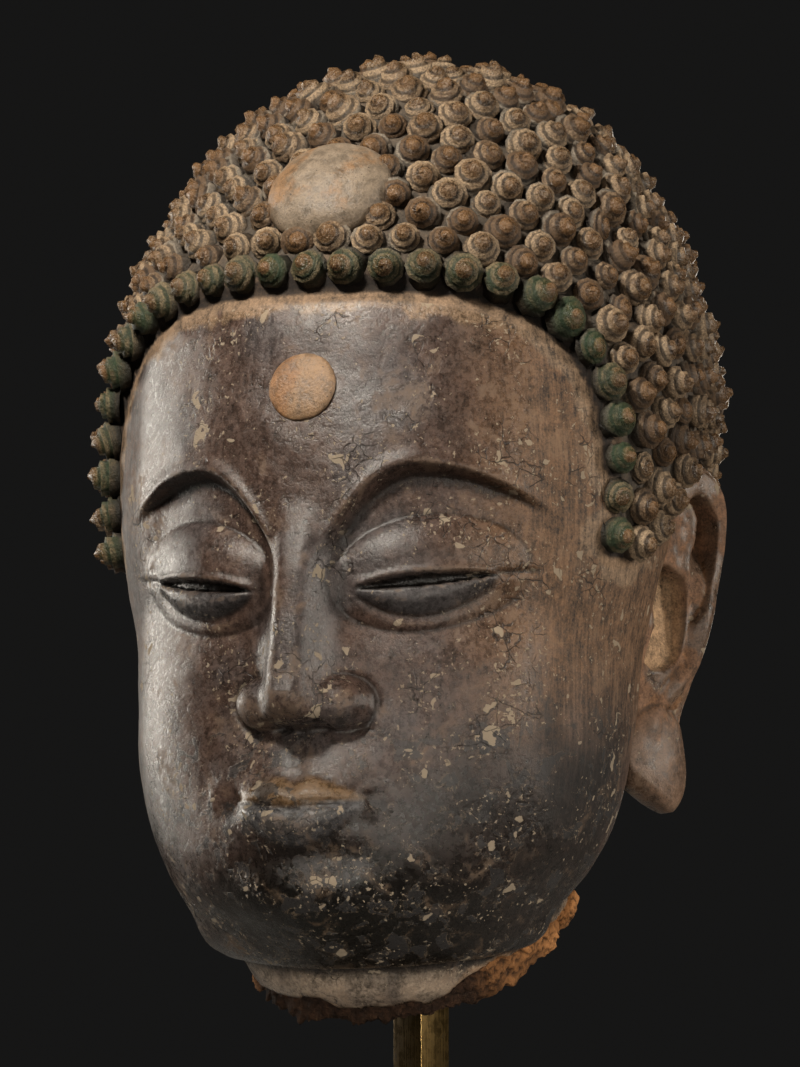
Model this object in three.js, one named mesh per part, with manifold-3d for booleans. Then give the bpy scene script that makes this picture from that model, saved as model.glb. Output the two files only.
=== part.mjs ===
// A painted clay buddha head, broken off at the neck, held up by a square bar on a flat foot.
// Millimetres, +Z up. The face looks along -Y and the head's left side is +X.
// The origin is on the floor, under the middle of the head's outline.
import * as THREE from "three";
import { ConvexHull } from "three/addons/math/ConvexHull.js";
import { mergeVertices } from "three/addons/utils/BufferGeometryUtils.js";
import Module from "manifold-3d";

const { PI, abs, min, max, sqrt, exp, sin, cos, tan, atan2, hypot, round } = Math;

// Driving dimensions
const faceHeight = 400; // chin to hairline, in three equal parts
const faceWidth = 300; // cheek to cheek, five eyes wide
const curlPitch = 24; // from one snail curl to the next
const edgePitch = 22.5; // the same along the lowest row
const curlHeight = 17;
const barSide = 25; // square bar of the mount
const barTurn = -24.5; // degrees about Z, of the bar and its foot
const barBack = 22; // from the middle of the head's outline
const barClear = 126; // floor plate to the lowest clay
const barInClay = 90; // length of bar inside the neck
const footSide = 240;
const footThick = 20;
const footChamfer = 3;
const barInFoot = 12;
const fitGap = 0.3;

// Head frame: z = 0 at the chin and y = 0 on the upright axis, so the face fills z = 0 to faceHeight.
const third = faceHeight / 3;
const eyeWidth = faceWidth / 5;
const heart = new THREE.Vector3(0, -5, 245); // sees the whole skin of the head
const scalpHeart = new THREE.Vector3(0, 15, 330);

// Rounded masses that melt into each other: centre, radii and the width of the blend.
const bareMasses = [
  { what: "skull", at: [0, 8, 310], radii: [158, 166, 175] },
  { what: "face", at: [0, -22, 212], radii: [faceWidth / 2 + 1, 147, faceHeight / 2], blend: 70 },
  { what: "left jowl", at: [56, -46, 104], radii: [80, 86, 84], blend: 60 },
  { what: "right jowl", at: [-56, -46, 104], radii: [80, 86, 84], blend: 60 },
  { what: "chin", at: [0, -88, 62], radii: [88, 84, 62], blend: 60 },
  { what: "roll under the chin", at: [0, -52, 18], radii: [104, 78, 32], blend: 22 },
  { what: "stub beside the neck", at: [84, 34, 26], radii: [16, 15, 14], blend: 5 },
];
const hairMasses = [
  { what: "cap", at: [0, 12, 330], radii: [177, 184, 150], radiusBelow: 205 },
  { what: "crown bump", at: [0, 25, 378], radii: [165, 153, 168], blend: 36 },
];
const hairOverSkin = { thick: 4, blend: 30 };
// The neck leans back as it goes down, and the break runs square across it.
const neck = { at: [0, -1, 8], lean: 26, radius: 97, swell: 10, swellAt: 30, swellHalf: 24, top: 90, blend: 4 };
const breakRough = { depth: 3, length: 24, coreRadius: 88, coreBulge: 9 };

const brow = { peakX: 68, peakZ: 2 * third + 17, rootX: 13, rootDrop: 52, endX: 132, endDrop: 24, ridge: 2.2, edge: 7 };
const eye = {
  innerX: eyeWidth / 2,
  outerX: 1.8 * eyeWidth,
  z: third * (5 / 3),
  tilt: 9,
  open: 6.5,
  lidBulge: 13,
  lidX: 52,
  lidZ: 33,
  slit: 8,
  socket: 11,
};
const nose = { out: 38, tipZ: 152, baseZ: third, topZ: 2 * third + 1, bridge: 13.5, tipHalf: 19, edge: 3.8 };
const wing = { x: 23, z: 147, rx: 18.5, rz: 15, out: 21 };
const mouth = { z: third * (2 / 3), half: 2 * (eyeWidth / 3), upper: 17, lower: 21, out: 7.5, corner: 4 };
const mark = { z: 329, radius: 20.5, out: 4.5 }; // round mark on the forehead
const jewel = { y: -114, z: 439, radius: 37, out: 22 }; // bare clay bead in the hair

// Middle line of the lowest row of curls: an arch over the face, a side lock, over the ear and round the nape.
const hairline = { topZ: 399, lockZ: 243, faceAngle: 65, squareness: 3.6, lockTo: 72, earZ: 308, earFrom: 94, earTo: 113, napeZ: 150 };
const hairStep = { from: 17, to: 7 }; // the hair rises from the bare skin over this stretch outside that line

const clampUnit = (t) => min(max(t, 0), 1);
const mix = (a, b, t) => a + (b - a) * t;
const smooth = (a, b, x) => {
  const t = clampUnit((x - a) / (b - a));
  return t * t * (3 - 2 * t);
};
const bell = (x) => exp(-x * x);
const dome = (square, power) => max(1 - square, 0) ** power;
const melt = (a, b, width) => {
  const h = max(width - abs(a - b), 0) / width;
  return min(a, b) - (h * h * width) / 4;
};

function massDistance(p, { at, radii, radiusBelow = radii[2] }) {
  const radiusZ = p.z < at[2] ? radiusBelow : radii[2];
  const qx = (p.x - at[0]) / radii[0];
  const qy = (p.y - at[1]) / radii[1];
  const qz = (p.z - at[2]) / radiusZ;
  const k0 = hypot(qx, qy, qz);
  const k1 = hypot(qx / radii[0], qy / radii[1], qz / radiusZ) + 1e-9;
  return (k0 * (k0 - 1)) / k1;
}

function massesDistance(p, [first, ...others]) {
  return others.reduce((d, mass) => melt(d, massDistance(p, mass), mass.blend), massDistance(p, first));
}

const neckLean = THREE.MathUtils.degToRad(neck.lean);

function neckDistance(p) {
  const y = p.y - neck.at[1];
  const z = p.z - neck.at[2];
  const along = z * cos(neckLean) - y * sin(neckLean);
  const across = hypot(p.x - neck.at[0], y * cos(neckLean) + z * sin(neckLean));
  const swell = neck.swell * dome(((along - neck.swellAt) / neck.swellHalf) ** 2, 1);
  return { along, wall: max(across - neck.radius - swell, along - neck.top) };
}

// The torn core under the neck hangs a little below its painted wall.
function breakRelief(p) {
  const { depth, length, coreRadius, coreBulge } = breakRough;
  const waves = sin(p.x / length) * cos(p.y / length + 1) + 0.5 * sin(p.x / 9 + p.y / 11);
  const core = dome(((p.x - neck.at[0]) ** 2 + (p.y - neck.at[1]) ** 2) / coreRadius ** 2, 0.4);
  return depth * waves - coreBulge * core;
}

function bareDistance(p) {
  const { along, wall } = neckDistance(p);
  return max(melt(massesDistance(p, bareMasses), wall, neck.blend), -along + breakRelief(p));
}

function hairDistance(p) {
  return melt(massesDistance(p, hairMasses), bareDistance(p) - hairOverSkin.thick, hairOverSkin.blend);
}

// Where a ray from inside the head leaves a form.
function leaves(distance, from, direction) {
  let near = 0;
  let far = 420;
  const p = new THREE.Vector3();
  for (let i = 0; i < 36; i++) {
    const middle = (near + far) / 2;
    if (distance(p.copy(from).addScaledVector(direction, middle)) < 0) near = middle;
    else far = middle;
  }
  return p.copy(from).addScaledVector(direction, near);
}

function hairNormal(p) {
  const slope = (axis) => {
    const shift = new THREE.Vector3().setComponent(axis, 1);
    return hairDistance(p.clone().add(shift)) - hairDistance(p.clone().sub(shift));
  };
  return new THREE.Vector3(slope(0), slope(1), slope(2)).normalize();
}

// The carving of the face, as a rise towards -Y over the smooth form, from u = |x| and z.
function browZ(u) {
  if (u < brow.peakX) return brow.peakZ - brow.rootDrop * ((brow.peakX - u) / (brow.peakX - brow.rootX)) ** 2;
  return brow.peakZ - brow.endDrop * ((u - brow.peakX) / (brow.endX - brow.peakX)) ** 2;
}

function lids(u) {
  const t = (u - eye.innerX) / (eye.outerX - eye.innerX);
  const line = eye.z - 6 + eye.tilt * (t - 0.5);
  const arch = sin(PI * clampUnit(t));
  return { t, line, arch, upper: line + 0.55 * eye.open * arch ** 0.8, lower: line - 0.45 * eye.open * arch };
}

function eyeRelief(u, z) {
  const below = browZ(u) - z;
  const side = 1 - smooth(brow.endX - 34, brow.endX + 6, u);
  const inner = smooth(nose.bridge - 6, nose.bridge + 14, u);
  let out = brow.ridge * bell((below + 1) / 7) * side * smooth(10, 30, u);
  out -= eye.socket * smooth(-1, brow.edge, below) * smooth(eye.z - 58, eye.z - 8, z) * side * inner;
  const { t, line, arch, upper, lower } = lids(u);
  const lidAcross = (u - (eye.innerX + eye.outerX) / 2) / eye.lidX;
  out += eye.lidBulge * dome(lidAcross ** 2 + ((z - line - 5) / eye.lidZ) ** 2, 0.8);
  const window = smooth(-0.02, 0.1, t) * (1 - smooth(0.9, 1.02, t));
  const gap = smooth(-0.6, 0.8, upper - z) * smooth(-0.6, 0.8, z - lower);
  out -= eye.slit * gap * smooth(0, 0.12, t) * (1 - smooth(0.9, 1, t));
  out += 1.6 * bell((z - upper - 2.2) / 2.4) * window;
  out += 2.6 * bell((z - lower + 7 * arch) / 5.5) * window;
  out -= 2.2 * bell((z - lower + 17 * arch ** 0.7) / 3.2) * window;
  const tail = smooth(0.92, 1, t) * (1 - smooth(1.1, 1.32, t));
  return out - 2.2 * bell((z - upper - 1) / 1.8) * tail;
}

function noseRelief(u, z) {
  const t = clampUnit((nose.topZ - z) / (nose.topZ - nose.tipZ));
  const under = clampUnit((nose.tipZ - z) / (nose.tipZ - nose.baseZ));
  const rise = nose.out * (0.2 * smooth(0, 0.42, t) + 0.8 * t ** 1.6) * sqrt(1 - under ** 2.4);
  const ridge = rise / (1 + (u / mix(nose.bridge, nose.tipHalf, t * t)) ** nose.edge);
  const rho = ((u - wing.x) / wing.rx) ** 2 + ((z - wing.z) / wing.rz) ** 2;
  const body = rho < 1 ? max(-melt(-ridge, -wing.out * sqrt(1 - rho), 12), ridge) : ridge;
  const groove = bell((sqrt(rho) - 1.12) / 0.13) * smooth(wing.x - 6, wing.x + 8, u);
  const nostril = dome(((u - 12.5) / 8.5) ** 2 + ((z - nose.baseZ - 0.5) / 4.5) ** 2, 1);
  return body - 1.8 * groove - 6 * nostril;
}

function lips(u) {
  const share = clampUnit(u / mouth.half);
  const line = mouth.z + mouth.corner * share ** 2 - 1.6 * bell(u / 8);
  const top = line + mouth.upper * (1 - share ** 1.8) * (1 - 0.22 * bell(u / 5.5));
  return { share, line, top, bottom: line - mouth.lower * (1 - share ** 2.6) };
}

function mouthRelief(u, z) {
  const { share, line, top, bottom } = lips(u);
  const up = (z - line) / max(top - line, 0.5);
  const down = (line - z) / max(line - bottom, 0.5);
  const fade = (1 - share ** 2.2) ** 0.6;
  let out = 0;
  if (up >= 0 && up <= 1) out += 0.9 * mouth.out * fade * sin(PI * (0.3 + 0.62 * up));
  if (down > 0 && down <= 1) out += mouth.out * fade * sin(PI * (0.22 + 0.68 * down));
  out += 7 * dome((u / 66) ** 2 + ((z - 98) / 52) ** 2, 1.6);
  out -= 4 * bell((z - line) / 1.9) * (1 - smooth(0.92, 1.14, u / mouth.half));
  out -= 3.5 * dome(((u - 44) / 14) ** 2 + ((z - 91) / 15) ** 2, 2);
  out -= 2 * bell(u / 5) * smooth(101, 109, z) * (1 - smooth(127, 134, z));
  out -= 4.5 * bell((z - 59) / 10) * dome((u / 46) ** 2, 1);
  out += 7 * dome((u / 58) ** 2 + ((z - 32) / 36) ** 2, 1.8);
  return out + 5 * dome(((u - 88) / 62) ** 2 + ((z - 142) / 74) ** 2, 1.5);
}

function relief(x, z) {
  const u = abs(x);
  const disc = mark.out * dome((u / mark.radius) ** 2 + ((z - mark.z) / mark.radius) ** 2, 0.5);
  return eyeRelief(u, z) + noseRelief(u, z) + mouthRelief(u, z) + disc;
}

// Hair
function hairEdgeZ(angle) {
  const { topZ, lockZ, faceAngle, squareness, lockTo, earZ, earFrom, earTo, napeZ } = hairline;
  const turn = abs(angle);
  const arch = max(1 - (turn / faceAngle) ** squareness, 0) ** (1 / squareness);
  const front = mix(lockZ, topZ, arch);
  const overEar = mix(front, earZ, smooth(lockTo, earFrom, turn));
  return mix(overEar, napeZ, smooth(earTo, earTo + 12, turn));
}

const angleOf = (p) => THREE.MathUtils.radToDeg(atan2(p.x, -p.y));

function hairAtAngle(angle, z) {
  const a = THREE.MathUtils.degToRad(angle);
  return leaves(hairDistance, new THREE.Vector3(0, 0, z), new THREE.Vector3(sin(a), -cos(a), 0));
}

const edgeLine = Array.from({ length: 1440 }, (_, i) => hairAtAngle(i / 4 - 180, hairEdgeZ(i / 4 - 180)));

// Distance to the middle line of the lowest row, positive inside the hair.
function insideHair(p) {
  const reach = sqrt(edgeLine.reduce((nearest, q) => min(nearest, p.distanceToSquared(q)), Infinity));
  return p.z > hairEdgeZ(angleOf(p)) ? reach : -reach;
}

// Centres of the curls of the lowest row, evenly spaced along the closed line.
function edgeRow() {
  const path = new THREE.CurvePath();
  edgeLine.forEach((p, i) => path.add(new THREE.LineCurve3(p, edgeLine[(i + 1) % edgeLine.length])));
  const count = round(path.getLength() / edgePitch);
  return Array.from({ length: count }, (_, i) => path.getPointAt((i + 0.5) / count));
}

// The bead in the hair stands proud of the scalp as a round dome.
const jewelAt = leaves(hairDistance, scalpHeart, new THREE.Vector3(0, jewel.y, jewel.z).sub(scalpHeart).normalize());
const jewelRise = (p) => jewel.out * dome((p.distanceTo(jewelAt) / jewel.radius) ** 2, 0.5);

// A point of the head's surface, without its curls, in a direction from the heart.
function surface(direction) {
  const bare = leaves(bareDistance, heart, direction);
  const hair = leaves(hairDistance, heart, direction);
  const p = bare.lerp(hair, smooth(-hairStep.from, -hairStep.to, insideHair(hair)));
  p.y -= relief(p.x, p.z) * smooth(20, 60, -p.y);
  return p.addScaledVector(direction, jewelRise(p));
}

// Even directions all round, from a golden-angle spiral.
function spiralDirections(count) {
  const golden = PI * (3 - sqrt(5));
  return Array.from({ length: count }, (_, i) => {
    const z = 1 - (2 * i + 1) / count;
    const ring = sqrt(1 - z * z);
    return new THREE.Vector3(ring * cos(golden * i), ring * sin(golden * i), z);
  });
}

const scalpPoint = (p) => leaves(hairDistance, scalpHeart, p.clone().sub(scalpHeart).normalize());

// The curls of the scalp start from an even spiral and push each other apart until they nest.
function scalpCurls(edge) {
  const spread = 1150;
  const clearOfEdge = (p) => insideHair(p) > 0.72 * curlPitch;
  const clearOfJewel = (p) => p.distanceTo(jewelAt) > jewel.radius + 0.05 * curlPitch;
  const free = spiralDirections(spread)
    .map((direction) => leaves(hairDistance, scalpHeart, direction))
    .filter((p) => clearOfEdge(p) && clearOfJewel(p));
  for (let pass = 0; pass < 40; pass++) {
    const pushed = free.map((p) => {
      const push = new THREE.Vector3();
      for (const q of [...edge, ...free]) {
        const gap = p.distanceTo(q);
        if (gap > 0 && gap < curlPitch) push.addScaledVector(p.clone().sub(q), (0.3 * (curlPitch - gap)) / gap);
      }
      const gap = p.distanceTo(jewelAt);
      const reach = jewel.radius + 0.25 * curlPitch;
      if (gap < reach) push.addScaledVector(p.clone().sub(jewelAt), (0.5 * (reach - gap)) / gap);
      return p.clone().add(push.clampLength(0, 0.35 * curlPitch));
    });
    pushed.forEach((p, i) => {
      const moved = scalpPoint(p);
      if (insideHair(moved) > 0.3 * curlPitch) free[i] = moved;
    });
  }
  return [...edge, ...free];
}

const lowestRow = edgeRow();
const curlCentres = scalpCurls(lowestRow);

// The foot of the lowest row, between its curls, where the hair steps down to the bare skin.
function edgeFeet(edge) {
  return edge.map((p, i) => {
    const next = edge[(i + 1) % edge.length];
    const middle = p.clone().lerp(next, 0.5);
    const outward = next.clone().sub(p).cross(hairNormal(middle)).normalize();
    return middle.addScaledVector(outward, hairStep.to);
  });
}

// Curls differ a little in size, as pieces pressed from one mould and set by hand do.
const curlSize = (i) => 1 + 0.09 * sin(i * 12.9898) + 0.05 * sin(i * 4.1414);

function curlTips() {
  return curlCentres.map((p, i) => p.clone().addScaledVector(hairNormal(p), curlHeight * curlSize(i)));
}

// The skin of the head as points all round its heart, joined by the hull of their directions.
function hullFaces(points) {
  const directions = points.map((p, i) => {
    const d = p.clone().sub(heart).normalize();
    d.index = i;
    return d;
  });
  return new ConvexHull().setFromPoints(directions).faces.map((face) => {
    const corners = [face.getEdge(0), face.getEdge(1), face.getEdge(2)].map((edge) => edge.head().point.index);
    return { corners, normal: face.normal };
  });
}

// Turns edges of the bare skin to lie along its creases: an edge is swapped for the other diagonal
// of its two faces wherever that bends less. The heart must still see both new faces.
function alongCreases(points, faces, isFixed) {
  const across = new Map();
  const key = (a, b) => a * points.length + b;
  const set = (a, b, c) => across.set(key(a, b), c).set(key(b, c), a).set(key(c, a), b);
  faces.forEach(({ corners }) => set(...corners));
  const normal = (a, b, c) => {
    const side = points[b].clone().sub(points[a]);
    return side.cross(points[c].clone().sub(points[a])).normalize();
  };
  const outer = (a, b) => normal(b, a, across.get(key(b, a)));
  const bend = (m, n) => 1 - m.dot(n);
  const seen = (a, b, c) => {
    const [pa, pb, pc] = [a, b, c].map((i) => points[i].clone().sub(heart).normalize());
    return pa.dot(pb.cross(pc)) > 1e-6;
  };
  for (let pass = 0; pass < 8; pass++) {
    for (const edge of [...across.keys()]) {
      const a = Math.floor(edge / points.length);
      const b = edge % points.length;
      if (a > b || !across.has(edge)) continue;
      const c = across.get(edge);
      const d = across.get(key(b, a));
      if ([a, b, c, d].some(isFixed) || across.has(key(c, d)) || across.has(key(d, c))) continue;
      if (!seen(a, d, c) || !seen(d, b, c)) continue;
      const rim = [outer(a, d), outer(d, b), outer(b, c), outer(c, a)];
      const [n1, n2] = [normal(a, b, c), normal(b, a, d)];
      const [m1, m2] = [normal(a, d, c), normal(d, b, c)];
      const now = bend(n1, n2) + bend(n2, rim[0]) + bend(n2, rim[1]) + bend(n1, rim[2]) + bend(n1, rim[3]);
      const swapped = bend(m1, m2) + bend(m1, rim[0]) + bend(m2, rim[1]) + bend(m2, rim[2]) + bend(m1, rim[3]);
      if (swapped > now - 1e-4) continue;
      across.delete(edge);
      across.delete(key(b, a));
      set(a, d, c);
      set(d, b, c);
    }
  }
  const kept = [];
  for (const [edge, c] of across) {
    const a = Math.floor(edge / points.length);
    const b = edge % points.length;
    if (a < b && a < c) kept.push(a, b, c);
  }
  return kept;
}

// Points along the carved lines of the face, so that lids, brows and lips stay crisp with few faces.
function carvedLines() {
  const points = [];
  const add = (x, z) => {
    for (const side of x > 0.1 ? [1, -1] : [1]) {
      points.push(leaves(bareDistance, new THREE.Vector3(side * x, 0, z), new THREE.Vector3(0, -1, 0)));
    }
  };
  const along = (from, to, steps, visit) => {
    for (let i = 0; i <= steps; i++) visit(mix(from, to, i / steps));
  };
  const ring = (x, z, radiusX, radiusZ, steps) =>
    along(0, 2 * PI, steps, (a) => add(abs(x + radiusX * cos(a)), z + radiusZ * sin(a)));
  const eyeMiddle = (eye.innerX + eye.outerX) / 2;
  along(brow.rootX + 3, brow.endX, 17, (u) => [3, -1.5, -8].forEach((off) => add(u, browZ(u) + off)));
  along(eye.innerX + 3, eye.outerX - 2, 24, (u) => {
    const { upper, lower } = lids(u);
    [upper + 0.9, (upper + lower) / 2, lower - 0.9].forEach((z) => add(u, z));
  });
  along(eye.innerX + 3, eye.outerX - 2, 11, (u) => {
    const { arch, upper, lower } = lids(u);
    [upper + 4.5, lower - 7 * arch, lower - 17 * arch ** 0.7].forEach((z) => add(u, z));
  });
  [0.82, 1.02].forEach((r) => ring(eyeMiddle, lids(eyeMiddle).line + 5, r * eye.lidX, r * eye.lidZ, 26));
  along(nose.tipZ, nose.topZ - 6, 12, (z) => [0, nose.bridge, 2 * nose.bridge].forEach((u) => add(u, z)));
  along(0, wing.x + wing.rx, 6, (u) => [5, 0.6, -2].forEach((off) => add(u, nose.baseZ + off)));
  [0.6, 0.98, 1.14].forEach((r) => ring(wing.x, wing.z, r * wing.rx, r * wing.rz, 12));
  along(0, 0.94 * mouth.half, 8, (u) => {
    const { line, top, bottom } = lips(u);
    [top + 1, mix(line, top, 0.45), line, mix(line, bottom, 0.45), bottom - 1].forEach((z) => add(u, z));
  });
  ring(0, mouth.z, 1.08 * mouth.half, 1.5 * mouth.lower, 24);
  [0.55, 0.97, 1.06].forEach((r) => ring(0, mark.z, r * mark.radius, r * mark.radius, 28));
  return points;
}

// Rings of points along the crease between jaw and neck, and along the edge of the break.
function neckLines() {
  const place = new THREE.Matrix4().makeRotationX(neckLean).setPosition(...neck.at);
  const onWall = (turn, along) => {
    const reach = neck.radius + neck.swell;
    return new THREE.Vector3(reach * cos(turn), reach * sin(turn), along).applyMatrix4(place);
  };
  const points = [];
  const steps = 44;
  for (let i = 0; i < steps; i++) {
    const turn = (2 * PI * i) / steps;
    let crease = 0;
    while (crease < neck.top && massesDistance(onWall(turn, crease), bareMasses) > 0) crease += 1;
    for (const level of [1, 0.5 * crease, crease - 7, crease, crease + 7]) points.push(onWall(turn, level));
  }
  return points;
}

// A finer grid where the face is carved and round the mouth, a coarser one on the cheeks and the neck.
function skinSpacing(p) {
  const front = p.y < -90;
  if (front && abs(p.x) < 62 && p.z > 58 && p.z < 128) return 7.5;
  return front && abs(p.x) < 118 && p.z > 20 && p.z < 300 ? 11.5 : 22;
}

function headSolidMesh() {
  const kept = [];
  const take = (p, spacing) => {
    if (kept.every((q) => q.distanceTo(p) >= spacing)) kept.push(p);
  };
  const onSkin = (p) => leaves(bareDistance, heart, p.clone().sub(heart).normalize());
  carvedLines().forEach((p) => take(p, 2.4));
  neckLines().forEach((p) => take(onSkin(p), 5));
  edgeFeet(lowestRow).forEach((p) => take(p, 5));
  for (const direction of spiralDirections(16000)) {
    const hair = leaves(hairDistance, heart, direction);
    if (hair.distanceTo(jewelAt) < jewel.radius) take(hair, 9);
    else if (insideHair(hair) < -hairStep.from) {
      const p = leaves(bareDistance, heart, direction);
      take(p, insideHair(hair) < -1.4 * hairStep.from ? skinSpacing(p) : 12);
    }
  }
  const tips = curlTips();
  const skin = kept.map((p) => surface(p.clone().sub(heart).normalize()));
  const isTip = (i) => i < tips.length;
  const roots = hullFaces([...tips, ...skin])
    .filter(({ corners }) => corners.every(isTip))
    .map(({ normal }) => surface(normal));
  const points = [...tips, ...skin, ...roots];
  const isHair = (i) => isTip(i) || i >= tips.length + skin.length;
  const geometry = new THREE.BufferGeometry();
  geometry.setAttribute("position", new THREE.Float32BufferAttribute(points.flatMap((p) => p.toArray()), 3));
  return geometry.setIndex(alongCreases(points, hullFaces(points), isHair));
}

// Ears: a panel on the side of the head, a flaring back wall, a rolled rim and a hanging lobe.
const ear = {
  rimPath: [
    [144, 4, 256],
    [149, 14, 281],
    [159, 34, 292],
    [172, 56, 285],
    [180, 66, 257],
    [176, 66, 220],
    [165, 58, 185],
    [153, 46, 157],
    [144, 37, 134],
  ],
  rimRadius: 8.5,
  rimFlat: 0.72,
  flare: 56, // degrees out from straight back, of the back wall
  wall: { at: [159, 41, 226], radii: [7, 33, 66] },
  panel: { at: [145, 26, 212], radii: [16, 30, 62] },
  hollow: { at: [163, 24, 206], radii: [15, 15, 31] },
  strap: { at: [147, 37, 152], radii: [11, 15, 36] },
  lobe: { at: [141, 33, 117], radii: [17, 20, 30] },
};

function ellipsoid({ at, radii }, turn = 0) {
  const ball = new THREE.SphereGeometry(1, 12, 8).scale(...radii);
  return ball.rotateZ(THREE.MathUtils.degToRad(turn)).translate(...at);
}

function rimTube() {
  const path = new THREE.CatmullRomCurve3(ear.rimPath.map((p) => new THREE.Vector3(...p)));
  const section = new THREE.Shape();
  section.absellipse(0, 0, ear.rimRadius, ear.rimRadius * ear.rimFlat, 0, 2 * PI);
  return new THREE.ExtrudeGeometry(section, { steps: 22, curveSegments: 3, extrudePath: path });
}

const wasm = await Module();
wasm.setup();

function toSolid(geometry) {
  const bare = new THREE.BufferGeometry().setAttribute("position", geometry.getAttribute("position").clone());
  if (geometry.index) bare.setIndex(geometry.index);
  const merged = mergeVertices(bare, 1e-4);
  return new wasm.Manifold(
    new wasm.Mesh({
      numProp: 3,
      vertProperties: new Float32Array(merged.getAttribute("position").array),
      triVerts: new Uint32Array(merged.index.array),
    }),
  );
}

function toGeometry(solid) {
  const { vertProperties, triVerts } = solid.getMesh();
  const geometry = new THREE.BufferGeometry();
  geometry.setAttribute("position", new THREE.BufferAttribute(vertProperties, 3));
  return geometry.setIndex(new THREE.BufferAttribute(triVerts, 1));
}

function leftEar() {
  const wall = toSolid(ellipsoid(ear.wall, ear.flare - 90));
  return [ellipsoid(ear.panel), rimTube(), ellipsoid(ear.strap), ellipsoid(ear.lobe)]
    .map(toSolid)
    .reduce((all, piece) => all.add(piece), wall)
    .subtract(toSolid(ellipsoid(ear.hollow)));
}

function barSocket() {
  const side = barSide + 2 * fitGap;
  const depth = 200;
  return new THREE.BoxGeometry(side, side, depth)
    .rotateZ(THREE.MathUtils.degToRad(barTurn))
    .translate(0, barHeadY, barTopZ + fitGap - depth / 2);
}

function clayHead(bare) {
  const oneEar = leftEar();
  return toGeometry(bare.add(oneEar).add(oneEar.mirror([1, 0, 0])).subtract(toSolid(barSocket())));
}

// A square block with its upper edges chamfered.
function chamferedBlock(side, height, chamfer) {
  const half = side / 2 - chamfer;
  const outline = new THREE.Shape().moveTo(-half, -half).lineTo(half, -half).lineTo(half, half).lineTo(-half, half);
  const options = { depth: height - chamfer, bevelSize: chamfer, bevelThickness: chamfer, bevelSegments: 1 };
  const block = new THREE.ExtrudeGeometry(outline, options);
  const trim = new THREE.BoxGeometry(2 * side, 2 * side, 2 * chamfer).translate(0, 0, -chamfer);
  return toSolid(block).subtract(toSolid(trim));
}

function foot() {
  const side = barSide + 2 * fitGap;
  const mortise = new THREE.BoxGeometry(side, side, 2 * barInFoot).translate(0, 0, footThick);
  return toGeometry(chamferedBlock(footSide, footThick, footChamfer).subtract(toSolid(mortise)));
}

function bar(length) {
  const edge = 1.5; // small flat along each long edge
  const half = barSide / 2;
  const flat = half - edge;
  const section = new THREE.Shape();
  [
    [half, -flat],
    [half, flat],
    [flat, half],
    [-flat, half],
    [-half, flat],
    [-half, -flat],
    [-flat, -half],
    [flat, -half],
  ].forEach(([x, y], i) => (i ? section.lineTo(x, y) : section.moveTo(x, y)));
  return new THREE.ExtrudeGeometry(section, { depth: length, bevelEnabled: false });
}

function part(name, geometry, material) {
  const mesh = new THREE.Mesh(geometry, material);
  mesh.name = name;
  return mesh;
}

const bareHead = toSolid(headSolidMesh());
const { min: low, max: high } = bareHead.boundingBox();
const headY = -(low[1] + high[1]) / 2; // the head's outline is centred over the origin
const chinZ = footThick + barClear - low[2];
const barHeadY = barBack - headY; // the bar's place in the head frame
const breakZ = neck.at[2] + tan(neckLean) * (barHeadY - neck.at[1]);
const barTopZ = breakZ + barInClay;

const paintedClay = new THREE.MeshStandardMaterial({ color: 0x5a4a40, roughness: 0.55, metalness: 0 });
const agedBrass = new THREE.MeshStandardMaterial({ color: 0x6f5a30, roughness: 0.4, metalness: 0.9 });

const headGroup = new THREE.Group();
headGroup.position.set(0, headY, chinZ);
headGroup.add(part("clay_head", clayHead(bareHead), paintedClay));

const barStart = footThick - barInFoot + fitGap;
const barMesh = part("mount_bar", bar(chinZ + barTopZ - barStart), agedBrass);
barMesh.position.z = barStart;

const mountGroup = new THREE.Group();
mountGroup.position.y = barBack;
mountGroup.rotation.z = THREE.MathUtils.degToRad(barTurn);
mountGroup.add(part("mount_foot", foot(), agedBrass), barMesh);

const buddhaHead = new THREE.Group();
buddhaHead.add(headGroup, mountGroup);

export default buddhaHead;
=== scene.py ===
from math import cos, pi, radians, sin, sqrt

import bpy
import numpy as np
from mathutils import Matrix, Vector, noise
from mathutils.kdtree import KDTree


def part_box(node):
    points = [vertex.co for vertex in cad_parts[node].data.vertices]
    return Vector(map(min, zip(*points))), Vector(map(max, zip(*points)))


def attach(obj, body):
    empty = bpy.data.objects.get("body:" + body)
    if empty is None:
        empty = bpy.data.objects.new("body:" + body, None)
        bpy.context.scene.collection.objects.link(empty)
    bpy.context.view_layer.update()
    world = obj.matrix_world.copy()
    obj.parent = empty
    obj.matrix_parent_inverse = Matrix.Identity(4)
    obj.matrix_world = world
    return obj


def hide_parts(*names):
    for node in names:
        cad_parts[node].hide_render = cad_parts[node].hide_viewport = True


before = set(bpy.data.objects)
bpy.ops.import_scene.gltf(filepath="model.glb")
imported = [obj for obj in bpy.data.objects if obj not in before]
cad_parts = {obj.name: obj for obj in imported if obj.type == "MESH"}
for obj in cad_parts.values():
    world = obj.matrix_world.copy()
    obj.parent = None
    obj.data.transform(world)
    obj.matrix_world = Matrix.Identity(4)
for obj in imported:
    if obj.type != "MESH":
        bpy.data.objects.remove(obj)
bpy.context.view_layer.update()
print("frame loaded")

mm = 0.001
chinSeat = np.array((0.0, -6.907, 180.059))  # the chin point in the part: all head sizes below are mm from it
third = 400 / 3  # the face is three equal parts high
eyeWidth = 300 / 5  # and five eyes wide


# small helpers for meshes

def selectOnly(piece):
    bpy.ops.object.select_all(action="DESELECT")
    piece.select_set(True)
    bpy.context.view_layer.objects.active = piece


def editWhole(piece):
    selectOnly(piece)
    bpy.ops.object.mode_set(mode="EDIT")
    bpy.ops.mesh.select_all(action="SELECT")


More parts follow.
